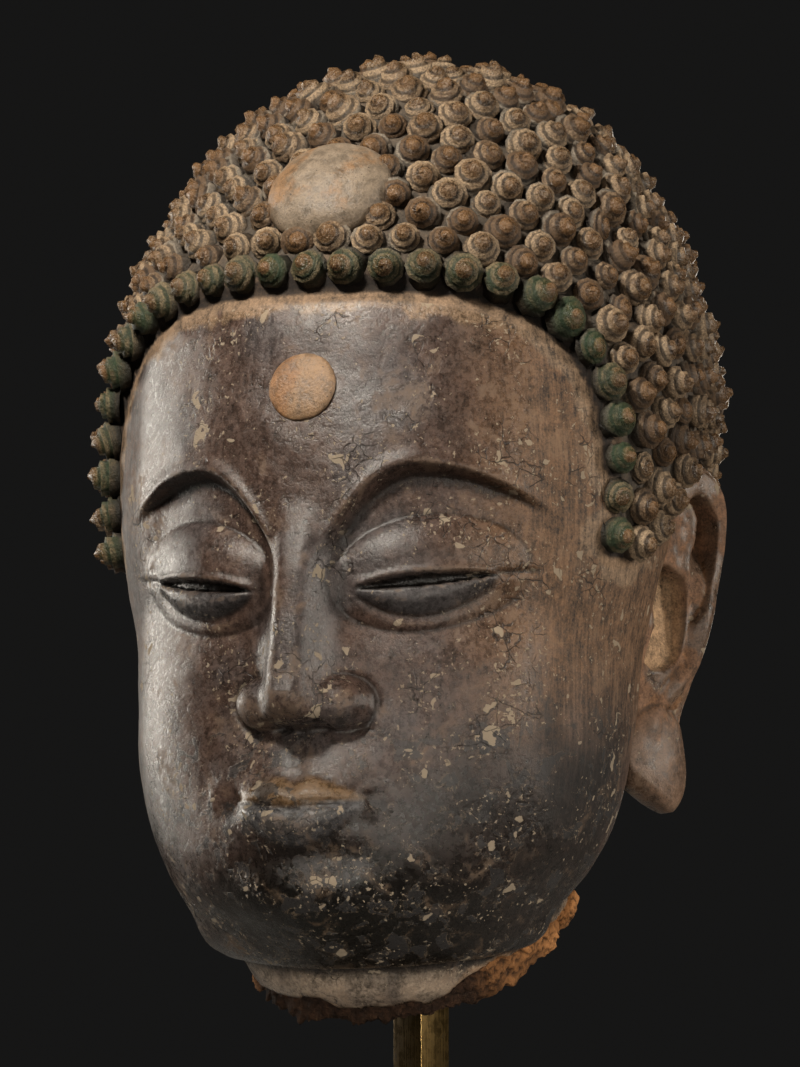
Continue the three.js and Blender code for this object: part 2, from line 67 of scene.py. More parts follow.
def named(name):
    piece = bpy.context.active_object
    piece.name = name
    piece.data.name = name
    return piece


def numbersOf(items, key, width=1, kind=float):
    flat = np.empty(len(items) * width, dtype=kind)
    items.foreach_get(key, flat)
    return flat.reshape(-1, width) if width > 1 else flat


def pointsOf(piece):
    return numbersOf(piece.data.vertices, "co", 3)


def newBall(name, columns, rows):  # also gives the column of each point, and its share of the way down
    bpy.ops.mesh.primitive_uv_sphere_add(segments=columns, ring_count=rows, radius=1)
    piece = named(name)
    x, y, z = pointsOf(piece).T
    column = np.round(np.arctan2(y, x) / (2 * pi) * columns).astype(int) % columns
    return piece, column, np.arccos(np.clip(z, -1, 1)) / pi


def movePoints(piece, points):
    piece.data.vertices.foreach_set("co", np.ascontiguousarray(points, dtype=float).ravel())
    piece.data.update()


def toPart(points):  # from mm at the chin to metres in the part
    return (points + chinSeat) * mm


def fromPart(points):
    return points / mm - chinSeat


def applyModifier(piece, kind, **settings):
    selectOnly(piece)
    modifier = piece.modifiers.new(kind.lower(), kind)
    for key, value in settings.items():
        setattr(modifier, key, value)
    bpy.ops.object.modifier_apply(modifier=modifier.name)


def outwardNormals(piece):
    editWhole(piece)
    bpy.ops.mesh.remove_doubles(threshold=0.01 * mm)
    bpy.ops.mesh.normals_make_consistent(inside=False)
    bpy.ops.object.mode_set(mode="OBJECT")


def keepValues(piece, **layers):  # one number per point, for the materials
    for name, values in layers.items():
        layer = piece.data.attributes.new(name, "FLOAT", "POINT")
        layer.data.foreach_set("value", np.ascontiguousarray(values, dtype=np.float32))


def valuesOf(piece, name):
    return numbersOf(piece.data.attributes[name].data, "value", kind=np.float32)


def keepColours(piece, name, colours):
    layer = piece.data.attributes.new(name, "FLOAT_COLOR", "POINT")
    rgba = np.ones((len(colours), 4), dtype=np.float32)
    rgba[:, :3] = colours
    layer.data.foreach_set("color", rgba.ravel())


def curvature(piece, passes=2):  # 1/mm, positive on ridges and negative in hollows
    points = pointsOf(piece) / mm
    normals = numbersOf(piece.data.vertex_normals, "vector", 3)
    a, b = numbersOf(piece.data.edges, "vertices", 2, np.int64).T

    def summed(atFirst, atSecond):  # over the edges that meet at each point
        return np.bincount(a, atFirst, len(points)) + np.bincount(b, atSecond, len(points))

    def around(values):
        return summed(values[b], values[a]) / count

    each = np.ones(len(a))
    count = np.maximum(summed(each, each), 1)
    middle = np.column_stack([around(column) for column in points.T])
    reach = np.sum((points[a] - points[b]) ** 2, axis=1)
    square = summed(reach, reach) / count
    bend = 2 * np.sum((points - middle) * normals, axis=1) / np.maximum(square, 0.01)
    for _ in range(passes):
        bend = 0.5 * bend + 0.5 * around(bend)
    return bend


def roughness(points, size, octaves=3, seed=0.0):  # soft random waves, about -1 to 1, over lengths of size
    shift = Vector((seed * 7.31, seed * 3.17, seed * 5.77))
    return np.array([noise.fractal(Vector(p) / size + shift, 0.9, 2.1, octaves) for p in points])


def finished(piece, material, node="clay_head"):
    piece.data.materials.clear()
    piece.data.materials.append(material)
    selectOnly(piece)
    bpy.ops.object.shade_smooth()
    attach(piece, "root")
    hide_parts(node)
    print(piece.name, len(piece.data.polygons), "faces")


# small helpers for materials

def feed(tree, socket, value):
    if isinstance(value, Value):
        tree.links.new(value.socket, socket)
    else:
        socket.default_value = value


def addNode(tree, kind, output, inputs=None, **settings):
    made = tree.nodes.new("ShaderNode" + kind)
    for key, value in settings.items():
        setattr(made, key, value)
    for key, value in (inputs or {}).items():
        feed(tree, made.inputs[key], value)
    return Value(tree, made.outputs[output])


class Value:  # what a node gives, so that sums of nodes read as sums
    def __init__(self, tree, socket):
        self.tree = tree
        self.socket = socket

    def math(self, operation, other):
        return addNode(self.tree, "Math", 0, {0: self, 1: other}, operation=operation)

    def __add__(self, other):
        return self.math("ADD", other)

    def __mul__(self, other):
        return self.math("MULTIPLY", other)

    def larger(self, other):
        return self.math("MAXIMUM", other)

    def between(self, low, high, start=0.0, end=1.0):
        inputs = {"Value": self, "From Min": low, "From Max": high, "To Min": start, "To Max": end}
        return addNode(self.tree, "MapRange", "Result", inputs, interpolation_type="SMOOTHSTEP")

    def swing(self, start=0.0, end=1.0):  # over the usual reach of a noise
        return self.between(0.3, 0.7, start, end)


class Finish:  # a material, with short words for what its nodes do
    def __init__(self, name):
        self.material = bpy.data.materials.new(name)
        self.material.use_nodes = True
        self.tree = self.material.node_tree
        self.shader = self.tree.nodes["Principled BSDF"]
        self.place = self.node("TexCoord", "Object")

    def node(self, kind, output, inputs=None, **settings):
        return addNode(self.tree, kind, output, inputs, **settings)

    def give(self, name, value):
        feed(self.tree, self.shader.inputs[name], value)

    def attribute(self, name, output="Fac"):
        return self.node("Attribute", output, attribute_name=name)

    def grain(self, scale, detail=4, rough=0.6, warp=0.0, stretch=None):
        place = self.place
        if stretch:
            place = self.node("Mapping", "Vector", {"Vector": place, "Scale": stretch})
        inputs = {"Vector": place, "Scale": scale, "Detail": detail, "Roughness": rough, "Distortion": warp}
        return self.node("TexNoise", "Fac", inputs)

    def crackNet(self, scale, pushScale, push):
        pushed = self.node("TexNoise", "Color", {"Vector": self.place, "Scale": pushScale, "Detail": 3})
        inputs = {0: pushed, 1: (push, push, push), 2: self.place}
        place = self.node("VectorMath", 0, inputs, operation="MULTIPLY_ADD")
        inputs = {"Vector": place, "Scale": scale}
        return self.node("TexVoronoi", "Distance", inputs, feature="DISTANCE_TO_EDGE")

    def blend(self, share, first, second, kind="MIX"):
        colours = [(*value, 1.0) if isinstance(value, tuple) else value for value in (first, second)]
        inputs = {0: share, 6: colours[0], 7: colours[1]}
        return self.node("Mix", 2, inputs, data_type="RGBA", blend_type=kind)

    def cover(self, share, colour):  # lays one more colour over the others
        self.colour = self.blend(share, self.colour, colour)

    def lit(self, colour, light):  # a colour made lighter or darker
        tint = self.node("CombineColor", 0, {0: light, 1: light, 2: light})
        return self.blend(1.0, colour, tint, "MULTIPLY")

    def bump(self, height, distance, strength):
        inputs = {"Height": height, "Distance": distance, "Strength": strength}
        self.give("Normal", self.node("Bump", "Normal", inputs))


# the form of the head: its large forms have the solid's values, and the fine ones are the scene's own

heart = np.array((0.0, -5.0, 245.0))  # sees the whole skin
scalpHeart = np.array((0.0, 15.0, 330.0))
skinMasses = [  # centre, radii, width of the blend
    ((0, 8, 310), (158, 166, 175), 1),  # skull
    ((0, -22, 212), (151, 147, 200), 70),  # face
    ((56, -46, 104), (80, 86, 84), 60),  # jowls
    ((-56, -46, 104), (80, 86, 84), 60),
    ((0, -88, 62), (88, 84, 62), 60),  # chin
    ((0, -52, 18), (104, 78, 32), 22),  # roll under the chin
]
hairCap = dict(at=(0, 12, 330), radii=(177, 184, 150), radiusBelow=205)
crownBump = dict(at=(0, 25, 378), radii=(165, 153, 168), blend=36)
hairOverSkin = dict(thick=4, blend=30)
neck = dict(at=(0, -1, 8), lean=26, radius=97, swell=10, swellAt=30, swellHalf=24, top=90, blend=3,
            wallEdge=7, endsUp=11)
brow = dict(peakX=68, peakZ=2 * third + 17, rootX=13, rootDrop=52, endX=132, endDrop=24, ridge=2.2, edge=7)
eye = dict(innerX=eyeWidth / 2, outerX=1.8 * eyeWidth, z=third * 5 / 3, tilt=9, open=6.5, lidBulge=13,
           lidX=52, lidZ=33, slit=8, socket=11, upperRoll=1.6, lowerRoll=2.6, fold=2.2, tail=2.2)
nose = dict(out=38, tipZ=152, baseZ=third, topZ=2 * third + 1, bridge=13.5, tipHalf=19, edge=3.8)
wing = dict(x=23, z=147, rx=18.5, rz=15, out=21, groove=1.8, nostril=6)
mouth = dict(z=third * 2 / 3, half=eyeWidth * 2 / 3, upper=17, lower=21, out=7.5, corner=4, parting=4,
             groove=2, hollow=4.5)
faceMounds = [  # rise, across, height, half width, half height, power
    (7, 0, 98, 66, 52, 1.6),  # round the mouth
    (-3.5, 44, 91, 14, 15, 2),  # beside its corners
    (7, 0, 32, 58, 36, 1.8),  # chin
    (5, 88, 142, 62, 74, 1.5),  # cheeks
]
hairline = dict(topZ=399, lockZ=243, faceAngle=65, squareness=3.6, lockTo=72, earZ=308, earFrom=94,
                earTo=113, napeZ=150)
hairStep = dict(start=-9, end=-2)  # the hair rises from the skin here, mm outside its lowest row's middle
rayReach = 420.0  # past the far side of the head
halvings = 26
edgeSteps = 1440  # points of the hair's edge line


def mix(a, b, t):
    return a + (b - a) * t


def smooth(a, b, x):
    t = np.clip((x - a) / (b - a), 0, 1)
    return t * t * (3 - 2 * t)


def bell(x):
    return np.exp(-x * x)


def dome(square, power):
    return np.maximum(1 - square, 0) ** power


def length(v):
    return np.linalg.norm(v, axis=-1)


def unit(v):
    return v / length(v)[..., None]


def melt(a, b, width):
    h = np.maximum(width - np.abs(a - b), 0) / width
    return np.minimum(a, b) - h * h * width / 4


def massDistance(p, at, radii, radiusBelow=None):
    size = np.tile(np.array(radii, dtype=float), (len(p), 1))
    if radiusBelow:
        size[p[:, 2] < at[2], 2] = radiusBelow
    q = (p - np.array(at)) / size
    away = length(q)
    return away * (away - 1) / (length(q / size) + 1e-9)


def neckPlace(p):  # height along the leaning neck and distance from its axis
    y = p[:, 1] - neck["at"][1]
    z = p[:, 2] - neck["at"][2]
    lean = radians(neck["lean"])
    along = z * cos(lean) - y * sin(lean)
    return along, np.hypot(p[:, 0] - neck["at"][0], y * cos(lean) + z * sin(lean))


def breakWaves(p):
    return 3 * (np.sin(p[:, 0] / 24) * np.cos(p[:, 1] / 24 + 1) + 0.5 * np.sin(p[:, 0] / 9 + p[:, 1] / 11))


def wallEdge(p):  # the painted wall of the neck ends here: it is broken away higher at both sides
    ragged = 1.6 * np.sin(p[:, 0] / 5 + np.sin(p[:, 1] / 7)) + 1.1 * np.sin(p[:, 1] / 3.4 + p[:, 0] / 11)
    higher = neck["endsUp"] * (smooth(40, 96, p[:, 0]) + smooth(-64, -94, p[:, 0]))
    return neck["wallEdge"] + breakWaves(p) + ragged + higher


def aboveNeck(p):
    d = np.inf
    for at, radii, width in skinMasses:
        d = melt(d, massDistance(p, at, radii), width)
    return d


def neckWall(p):
    along, across = neckPlace(p)
    swell = neck["swell"] * dome(((along - neck["swellAt"]) / neck["swellHalf"]) ** 2, 1)
    return np.maximum(across - neck["radius"] - swell, along - neck["top"])


def skinDistance(p):
    whole = melt(aboveNeck(p), neckWall(p), neck["blend"])
    return np.maximum(whole, wallEdge(p) - neckPlace(p)[0])


def neckCrease(p, width):  # 1 in the fold between chin and neck
    return bell((aboveNeck(p) - neckWall(p)) / width)


def hairDistance(p):
    d = massDistance(p, **hairCap)
    d = melt(d, massDistance(p, crownBump["at"], crownBump["radii"]), crownBump["blend"])
    return melt(d, skinDistance(p) - hairOverSkin["thick"], hairOverSkin["blend"])


def leaves(distance, start, directions):  # where rays from inside leave a form
    near = np.zeros(len(directions))
    far = np.full(len(directions), rayReach)
    for _ in range(halvings):
        middle = (near + far) / 2
        inside = distance(start + directions * middle[:, None]) < 0
        near = np.where(inside, middle, near)
        far = np.where(inside, far, middle)
    return start + directions * near[:, None]


def hairNormals(p):
    slopes = [hairDistance(p + step) - hairDistance(p - step) for step in np.eye(3)]
    return unit(np.column_stack(slopes))


def browZ(u):
    rising = brow["rootDrop"] * ((brow["peakX"] - u) / (brow["peakX"] - brow["rootX"])) ** 2
    falling = brow["endDrop"] * ((u - brow["peakX"]) / (brow["endX"] - brow["peakX"])) ** 2
    return brow["peakZ"] - np.where(u < brow["peakX"], rising, falling)


def lids(u):
    t = (u - eye["innerX"]) / (eye["outerX"] - eye["innerX"])
    line = eye["z"] - 6 + eye["tilt"] * (t - 0.5)
    arch = np.sin(pi * np.clip(t, 0, 1))
    upper = line + 0.55 * eye["open"] * arch ** 0.8
    lower = line - 0.45 * eye["open"] * arch
    return t, line, arch, upper, lower


def eyeRelief(u, z):
    below = browZ(u) - z
    side = 1 - smooth(brow["endX"] - 34, brow["endX"] + 6, u)
    inner = smooth(nose["bridge"] - 6, nose["bridge"] + 14, u)
    out = brow["ridge"] * bell((below + 1) / 7) * side * smooth(10, 30, u)
    aboveCheek = smooth(eye["z"] - 58, eye["z"] - 8, z)
    out -= eye["socket"] * smooth(-1, brow["edge"], below) * aboveCheek * side * inner
    t, line, arch, upper, lower = lids(u)
    lidAcross = (u - (eye["innerX"] + eye["outerX"]) / 2) / eye["lidX"]
    out += eye["lidBulge"] * dome(lidAcross ** 2 + ((z - line - 5) / eye["lidZ"]) ** 2, 0.8)
    window = smooth(-0.02, 0.1, t) * (1 - smooth(0.9, 1.02, t))
    gap = smooth(-0.6, 0.8, upper - z) * smooth(-0.6, 0.8, z - lower)
    out -= eye["slit"] * gap * smooth(0, 0.12, t) * (1 - smooth(0.9, 1, t))
    out += eye["upperRoll"] * bell((z - upper - 2.2) / 2.4) * window
    out += eye["lowerRoll"] * bell((z - lower + 7 * arch) / 5.5) * window
    out -= eye["fold"] * bell((z - lower + 17 * arch ** 0.7) / 3.2) * window
    tail = smooth(0.92, 1, t) * (1 - smooth(1.1, 1.32, t))  # the lid's line runs on past the corner
    return out - eye["tail"] * bell((z - upper - 1) / 1.8) * tail


def noseRelief(u, z):
    t = np.clip((nose["topZ"] - z) / (nose["topZ"] - nose["tipZ"]), 0, 1)
    under = np.clip((nose["tipZ"] - z) / (nose["tipZ"] - nose["baseZ"]), 0, 1)
    rise = nose["out"] * (0.2 * smooth(0, 0.42, t) + 0.8 * t ** 1.6) * np.sqrt(1 - under ** 2.4)
    ridge = rise / (1 + (u / mix(nose["bridge"], nose["tipHalf"], t * t)) ** nose["edge"])
    rho = ((u - wing["x"]) / wing["rx"]) ** 2 + ((z - wing["z"]) / wing["rz"]) ** 2
    wingRise = wing["out"] * dome(rho, 0.5)
    body = np.where(rho < 1, np.maximum(-melt(-ridge, -wingRise, 12), ridge), ridge)
    groove = bell((np.sqrt(rho) - 1.12) / 0.13) * smooth(wing["x"] - 6, wing["x"] + 8, u)
    nostril = dome(((u - 12.5) / 8.5) ** 2 + ((z - nose["baseZ"] - 0.5) / 4.5) ** 2, 1)
    return body - wing["groove"] * groove - wing["nostril"] * nostril


def lips(u):
    share = np.clip(u / mouth["half"], 0, 1)
    line = mouth["z"] + mouth["corner"] * share ** 2 - 1.6 * bell(u / 8)
    top = line + mouth["upper"] * (1 - share ** 1.8) * (1 - 0.22 * bell(u / 5.5))
    bottom = line - mouth["lower"] * (1 - share ** 2.6)
    return share, line, top, bottom


def mouthRelief(u, z):
    share, line, top, bottom = lips(u)
    up = (z - line) / np.maximum(top - line, 0.5)
    down = (line - z) / np.maximum(line - bottom, 0.5)
    fade = (1 - share ** 2.2) ** 0.6
    upperLip = np.where((up >= 0) & (up <= 1), np.sin(pi * (0.3 + 0.62 * np.clip(up, 0, 1))), 0)
    lowerLip = np.where((down > 0) & (down <= 1), np.sin(pi * (0.22 + 0.68 * np.clip(down, 0, 1))), 0)
    out = mouth["out"] * fade * (0.9 * upperLip + lowerLip)
    out -= mouth["parting"] * bell((z - line) / 1.9) * (1 - smooth(0.92, 1.14, u / mouth["half"]))
    out -= mouth["groove"] * bell(u / 5) * smooth(101, 109, z) * (1 - smooth(127, 134, z))  # up to the nose
    return out - mouth["hollow"] * bell((z - 59) / 10) * dome((u / 46) ** 2, 1)  # under the lower lip


def moundRelief(u, z):
    return sum(rise * dome(((u - across) / wide) ** 2 + ((z - height) / high) ** 2, power)
               for rise, across, height, wide, high, power in faceMounds)


def faceRelief(x, z):
    u = np.abs(x)
    return eyeRelief(u, z) + noseRelief(u, z) + mouthRelief(u, z) + moundRelief(u, z)


def hairEdgeZ(angle):  # height of the lowest row of curls at an angle from the front
    turn = np.abs(angle)
    arch = dome((turn / hairline["faceAngle"]) ** hairline["squareness"], 1 / hairline["squareness"])
    front = mix(hairline["lockZ"], hairline["topZ"], arch)
    overEar = mix(front, hairline["earZ"], smooth(hairline["lockTo"], hairline["earFrom"], turn))
    return mix(overEar, hairline["napeZ"], smooth(hairline["earTo"], hairline["earTo"] + 12, turn))


def angleOf(p):
    return np.degrees(np.arctan2(p[:, 0], -p[:, 1]))


edgeAngles = np.arange(edgeSteps) * 360 / edgeSteps - 180
edgeTurns = np.radians(edgeAngles)
level = np.zeros(edgeSteps)
edgeRays = np.column_stack([np.sin(edgeTurns), -np.cos(edgeTurns), level])
edgeLine = leaves(hairDistance, np.column_stack([level, level, hairEdgeZ(edgeAngles)]), edgeRays)
edgeTree = KDTree(len(edgeLine))
for index, point in enumerate(edgeLine):
    edgeTree.insert(point, index)
edgeTree.balance()


def insideHair(p):  # distance to the lowest row's middle line, positive in the hair
    reach = np.array([edgeTree.find(point)[2] for point in p])
    return np.where(p[:, 2] > hairEdgeZ(angleOf(p)), reach, -reach)


beadNear = np.array((0.0, -114.0, 439.0))
beadSeat = leaves(hairDistance, scalpHeart, unit(beadNear - scalpHeart)[None])[0]
print("head form ready")


# paint of the skin, as linear colours

paints = dict(
    lacquer=(0.066, 0.041, 0.032),
    greyLacquer=(0.066, 0.052, 0.049),
    templeBrown=(0.145, 0.080, 0.042),
    jawDarkAndShade=(0.016, 0.011, 0.009),
    chinBlackAndShade=(0.005, 0.004, 0.003),
    neckGrey=(0.120, 0.094, 0.077),
    neckRubAndHighlight=(0.400, 0.310, 0.232),
    bareClay=(0.200, 0.132, 0.083),
    ochre=(0.125, 0.075, 0.038),
    slate=(0.058, 0.055, 0.057),
    scalpDustAndShade=(0.060, 0.047, 0.035),
    shadeUnderCurls=(0.022, 0.015, 0.011),
    eyeDark=(0.006, 0.005, 0.004),
    brokenEdge=(0.270, 0.180, 0.115),
)
bareBand = dict(start=-9, end=-23)  # mm below the middle of the front row, where the clay is bare
lipEdge = 1.3  # half width of the paint's edge


def skinColours(p, inside):
    x, y, z = p.T
    u = np.abs(x)
    front = smooth(10, 50, -y)
    colour = np.tile(np.array(paints["lacquer"]), (len(p), 1))

    def lay(name, share):
        colour[:] = mix(colour, np.array(paints[name]), np.clip(share, 0, 1)[:, None])

    wander = roughness(p, 60, 4, 1.0)
    patches = roughness(p, 22, 4, 2.0)
    lay("greyLacquer", smooth(-0.1, 0.5, wander) * front)
    lay("templeBrown", smooth(70, 130, x + 22 * wander) * smooth(80, 190, z) * 0.85)
    # dark paint and painted shade low on the jaw, reaching higher towards +X
    lay("jawDarkAndShade", smooth(115, 55, z + 26 * wander - 0.35 * x) * smooth(-150, -20, x) * front)
    # near-black paint and painted shade on the chin and under it
    lay("chinBlackAndShade", dome(((x - 18) / 92) ** 2 + ((z - 22 + 8 * patches) / 46) ** 2, 0.5) * front)
    onNeck = smooth(0, 3, aboveNeck(p) - neckWall(p))
    lay("neckGrey", onNeck)
    # painted highlight and rubbed clay along the top of the neck ring, just below the fold
    lay("neckRubAndHighlight", onNeck * neckCrease(p, 10) * smooth(0.70, -0.30, patches))
    # painted shade in the fold between chin and neck
    lay("chinBlackAndShade", 0.9 * neckCrease(p, 5))
    _, line, top, bottom = lips(u)
    inLips = smooth(1.02, 0.94, u / mouth["half"]) * front
    lay("ochre", smooth(line - 0.5, line + 0.5, z) * smooth(top + lipEdge, top - lipEdge, z) * inLips)
    lay("slate", smooth(line + 0.5, line - 0.5, z) * smooth(bottom - lipEdge, bottom + lipEdge, z) * inLips)
    t, _, arch, upper, lower = lids(u)
    inEye = smooth(-0.02, 0.08, t) * smooth(1.02, 0.94, t) * front
    fold = lower - 16 * arch ** 0.7
    lay("slate", smooth(lower + 1, lower - 1, z) * smooth(fold - 1, fold + 1, z) * inEye * 0.8)
    lay("eyeDark", smooth(upper + 0.6, upper - 0.4, z) * smooth(lower - 0.6, lower + 0.4, z) * inEye)
    ragged = bareBand["end"] - 8 * patches
    lay("bareClay", smooth(ragged - 1, ragged + 1, inside) * smooth(88, 70, np.abs(angleOf(p))))
    # painted shade where the scalp rises under the lowest curls
    lay("shadeUnderCurls", smooth(bareBand["start"] - 2, bareBand["start"], inside))
    # grey dust on the scalp between the curls, darkened as painted shade
    lay("scalpDustAndShade", smooth(bareBand["start"] + 8, bareBand["start"] + 14, inside))
    overBreak = neckPlace(p)[0] - wallEdge(p)
    lay("brokenEdge", smooth(3.2, 1.6, overBreak - 6 * smooth(-60, -96, x)))
    return colour


# skin: face, neck and scalp in one closed form

skin = dict(columns=300, rows=310, waves=0.7, crease=6, fuller=0.55, behindEar=12, coreRoom=7)
sideDensity = [(46, 1.8), (56, 1.0), (80, 0.9), (100, 0.34), (180, 0.3)]  # at degrees from the front
columnDensity = [(-turn, dense) for turn, dense in reversed(sideDensity)] + [(0, 1.9)] + sideDensity
rowDensity = [(-90, 0.5), (-80, 0.8), (-77, 2.6), (-56, 2.5), (-36, 2.5), (-16, 2.4), (20, 2.4), (26, 1.7),
              (42, 1.6), (52, 1.5), (58, 0.6), (90, 0.5)]  # at degrees of height


def spread(low, high, count, density):  # angles that lie closer where the density is higher
    fine = np.linspace(low, high, 8001)
    where, weight = np.array(density).T
    total = np.cumsum(np.interp(fine, where, weight))
    return np.interp(np.linspace(total[0], total[-1], count), total, fine)


def makeSkin():
    piece, column, down = newBall("headSkin", skin["columns"], skin["rows"])
    row = np.round(down * skin["rows"]).astype(int)
    around = np.radians(spread(-180, 180, skin["columns"] + 1, columnDensity)[:-1])[column]
    height = np.radians(spread(-90, 90, skin["rows"] + 1, rowDensity)[::-1])[row]
    level = np.cos(height)
    ways = np.column_stack([level * np.sin(around), -level * np.cos(around), np.sin(height)])
    bare = leaves(skinDistance, heart, ways)
    hair = leaves(hairDistance, heart, ways)
    inside = insideHair(hair)
    fuller = skin["fuller"] * smooth(-70, hairStep["start"], inside)  # brow and temples swell to the hair
    p = mix(bare, hair, mix(fuller, 1, smooth(hairStep["start"], hairStep["end"], inside))[:, None])
    x, y, z = p.T  # these stay part of p
    y -= faceRelief(x, z) * smooth(20, 60, -y)
    behindEar = bell((y - 24) / 17) * bell((z - 203) / 32) * smooth(90, 120, np.abs(x))
    x -= skin["behindEar"] * np.sign(x) * behindEar
    waves = roughness(p, 34, 3, 3.0)
    colours = skinColours(p, inside)
    onFace = smooth(3, 0, aboveNeck(p) - neckWall(p))
    p += ways * (skin["waves"] * waves - skin["crease"] * neckCrease(p, 6))[:, None]
    torn = smooth(1.4, 0.4, neckPlace(p)[0] - wallEdge(p))
    z += skin["coreRoom"] * torn  # the torn core is a piece of its own below this
    movePoints(piece, toPart(p))
    keepColours(piece, "paint", colours)
    bend = curvature(piece)
    shine = smooth(-14, -20, inside) * (1 - torn)
    besideCheek = smooth(108, 138, np.abs(x)) * smooth(-30, 20, -y)
    # sunk marks the hollows, which the finish darkens as painted shade
    keepValues(piece, worn=smooth(0.02, 0.09, bend), sunk=smooth(0.012, 0.08, -bend), shine=shine,
               streaky=besideCheek * smooth(30, 90, z),
               scaly=smooth(170, 110, z + 12 * waves) * shine * mix(0.25, 1, onFace))
    return piece


# finish of the skin: worn lacquer over clay

skinLook = dict(rubbed=(0.165, 0.108, 0.068), flake=(0.330, 0.265, 0.190), scale=(0.026, 0.024, 0.024),
                rim=(0.250, 0.180, 0.118), dirtAndShade=(0.010, 0.007, 0.006))


def lacquerFinish(name, rubbedStart=0.60, gloss=0.26):
    paint = Finish(name)
    shine = paint.attribute("shine")
    cloud = paint.grain(13)
    region = paint.grain(27, 3)
    loss = paint.grain(58, 9, 0.66, 0.5)
    mottle = paint.grain(230, 7, 0.72)
    grit = paint.grain(760, 3, 0.65)
    runs = paint.grain(1, 4, 0.68, stretch=(430, 430, 21))
    sides = paint.attribute("streaky").between(0.0, 1.0)
    light = loss.between(0.36, 0.62, 0.70, 1.16) + mottle.swing(-0.38, 0.38)
    light = light + grit.swing(-0.28, 0.28)
    light = light + runs.between(0.34, 0.66, -0.34, 0.34) * sides.between(0.0, 1.0, 0.35, 1.0)
    paint.colour = paint.lit(paint.attribute("paint", "Color"), light.larger(0.15))

    field = loss * 0.66 + cloud * 0.34 + paint.attribute("worn") * 0.075
    rubbed = field.between(rubbedStart - 0.07, rubbedStart + 0.01) * mottle.between(0.40, 0.62, 0.25, 1.0)
    paint.cover(rubbed * 0.55, skinLook["rubbed"])

    shell = paint.grain(74, 6, 0.6, 0.7) * 0.8 + region * 0.2
    low = paint.attribute("scaly").between(0.0, 1.0)
    scales = shell.between(0.545, 0.555) * low  # dark scales of lacquer left on the jaw
    paint.cover(scales * 0.75, skinLook["scale"])
    rims = shell.between(0.536, 0.546) * shell.between(0.554, 0.548) * low * mottle.between(0.42, 0.56)
    paint.cover(rims * 0.5, skinLook["rim"])

    gather = region.between(0.40, 0.62, -0.07, 0.03)  # flakes come in crowds
    spots = (paint.grain(100, 3, 0.45, 0.25) + gather).between(0.662, 0.668)
    chips = (paint.grain(400, 2, 0.5, 0.2) + gather).between(0.662, 0.676)
    flakes = spots.larger(chips) * shine.between(0.2, 0.6)
    paint.cover(flakes * 0.75, skinLook["flake"])

    cracks = paint.crackNet(85, 60, 0.012).between(0.030, 0.010) * region.between(0.54, 0.62) * shine
    paint.cover(cracks * 0.8, skinLook["dirtAndShade"])
    # painted shade: the hollows of the surface made darker
    paint.cover(paint.attribute("sunk") * 0.6, skinLook["dirtAndShade"])
    paint.give("Base Color", paint.colour)

    bare = (rubbed * 0.6).larger(shine * -1.0 + 1.0).larger(flakes).larger(sides * 0.6)
    paint.give("Roughness", bare.between(0, 1, gloss, 0.85) + mottle.swing(-0.08, 0.12))
    relief = mottle * 0.5 + rubbed * -0.20 + flakes.larger(scales) * 0.22 + cracks * -0.35
    paint.bump(relief + grit * 0.2 + runs * sides * 0.5, 1.5 * mm, 0.65)
    paint.give("Specular IOR Level", 0.42)
    return paint.material


finished(makeSkin(), lacquerFinish("wornLacquer"))


# curls: one snail, coiled from a strip, copied over the scalp

curl = dict(pitch=24, edgePitch=22.5, swell=0.9, rise=0.9, groove=1.3, dip=1.2, sink=4.5, turns=4.0, steps=10,
            tilt=14, droop=0.9, wornShare=0.10, wornTall=0.62, start=1150, greenAngle=68)
curlSide = dict(share=(0, 0.33, 0.67, 0.88, 0.95, 1), radius=(11.7, 9.6, 6.2, 3.4, 2.6, 0),
                height=(0, 5.2, 9.8, 12.8, 14.2, 15.0))  # a stepped cone with a knob on top
beadReach = 34  # some curls lie on its edge


def alongRing(points, first, pitch=None, count=None):  # even steps round a closed line of points
    ring = np.vstack([points, points[:1]])
    run = np.concatenate([[0], np.cumsum(length(np.diff(ring, axis=0)))])
    count = count or round(run[-1] / pitch)
    stops = (np.arange(count) + first) / count * run[-1]
    return np.column_stack([np.interp(stops, run, column) for column in ring.T])


def nestedCurls(edge):  # an even spiral of points that push each other apart until they nest
    pitch = curl["pitch"]
    number = np.arange(curl["start"])
    up = 1 - (2 * number + 1) / curl["start"]
    ring = np.sqrt(1 - up * up)
    golden = pi * (3 - sqrt(5)) * number
    ways = np.column_stack([ring * np.cos(golden), ring * np.sin(golden), up])
    free = leaves(hairDistance, scalpHeart, ways)
    clear = length(free - beadSeat) > beadReach + 0.05 * pitch
    free = free[(insideHair(free) > 0.72 * pitch) & clear]
    for _ in range(40):
        away = free[:, None] - np.vstack([edge, free])[None]
        gap = length(away)
        force = np.where((gap > 0) & (gap < pitch), 0.3 * (pitch - gap) / np.maximum(gap, 1e-6), 0)
        push = np.sum(away * force[:, :, None], axis=1)
        away = free - beadSeat
        gap = length(away)
        reach = beadReach + 0.25 * pitch
        push += away * np.where(gap < reach, 0.5 * (reach - gap) / gap, 0)[:, None]
        push *= np.minimum(0.35 * pitch / np.maximum(length(push), 1e-6), 1)[:, None]
        moved = leaves(hairDistance, scalpHeart, unit(free + push - scalpHeart))
        free = np.where((insideHair(moved) > 0.3 * pitch)[:, None], moved, free)
    return free


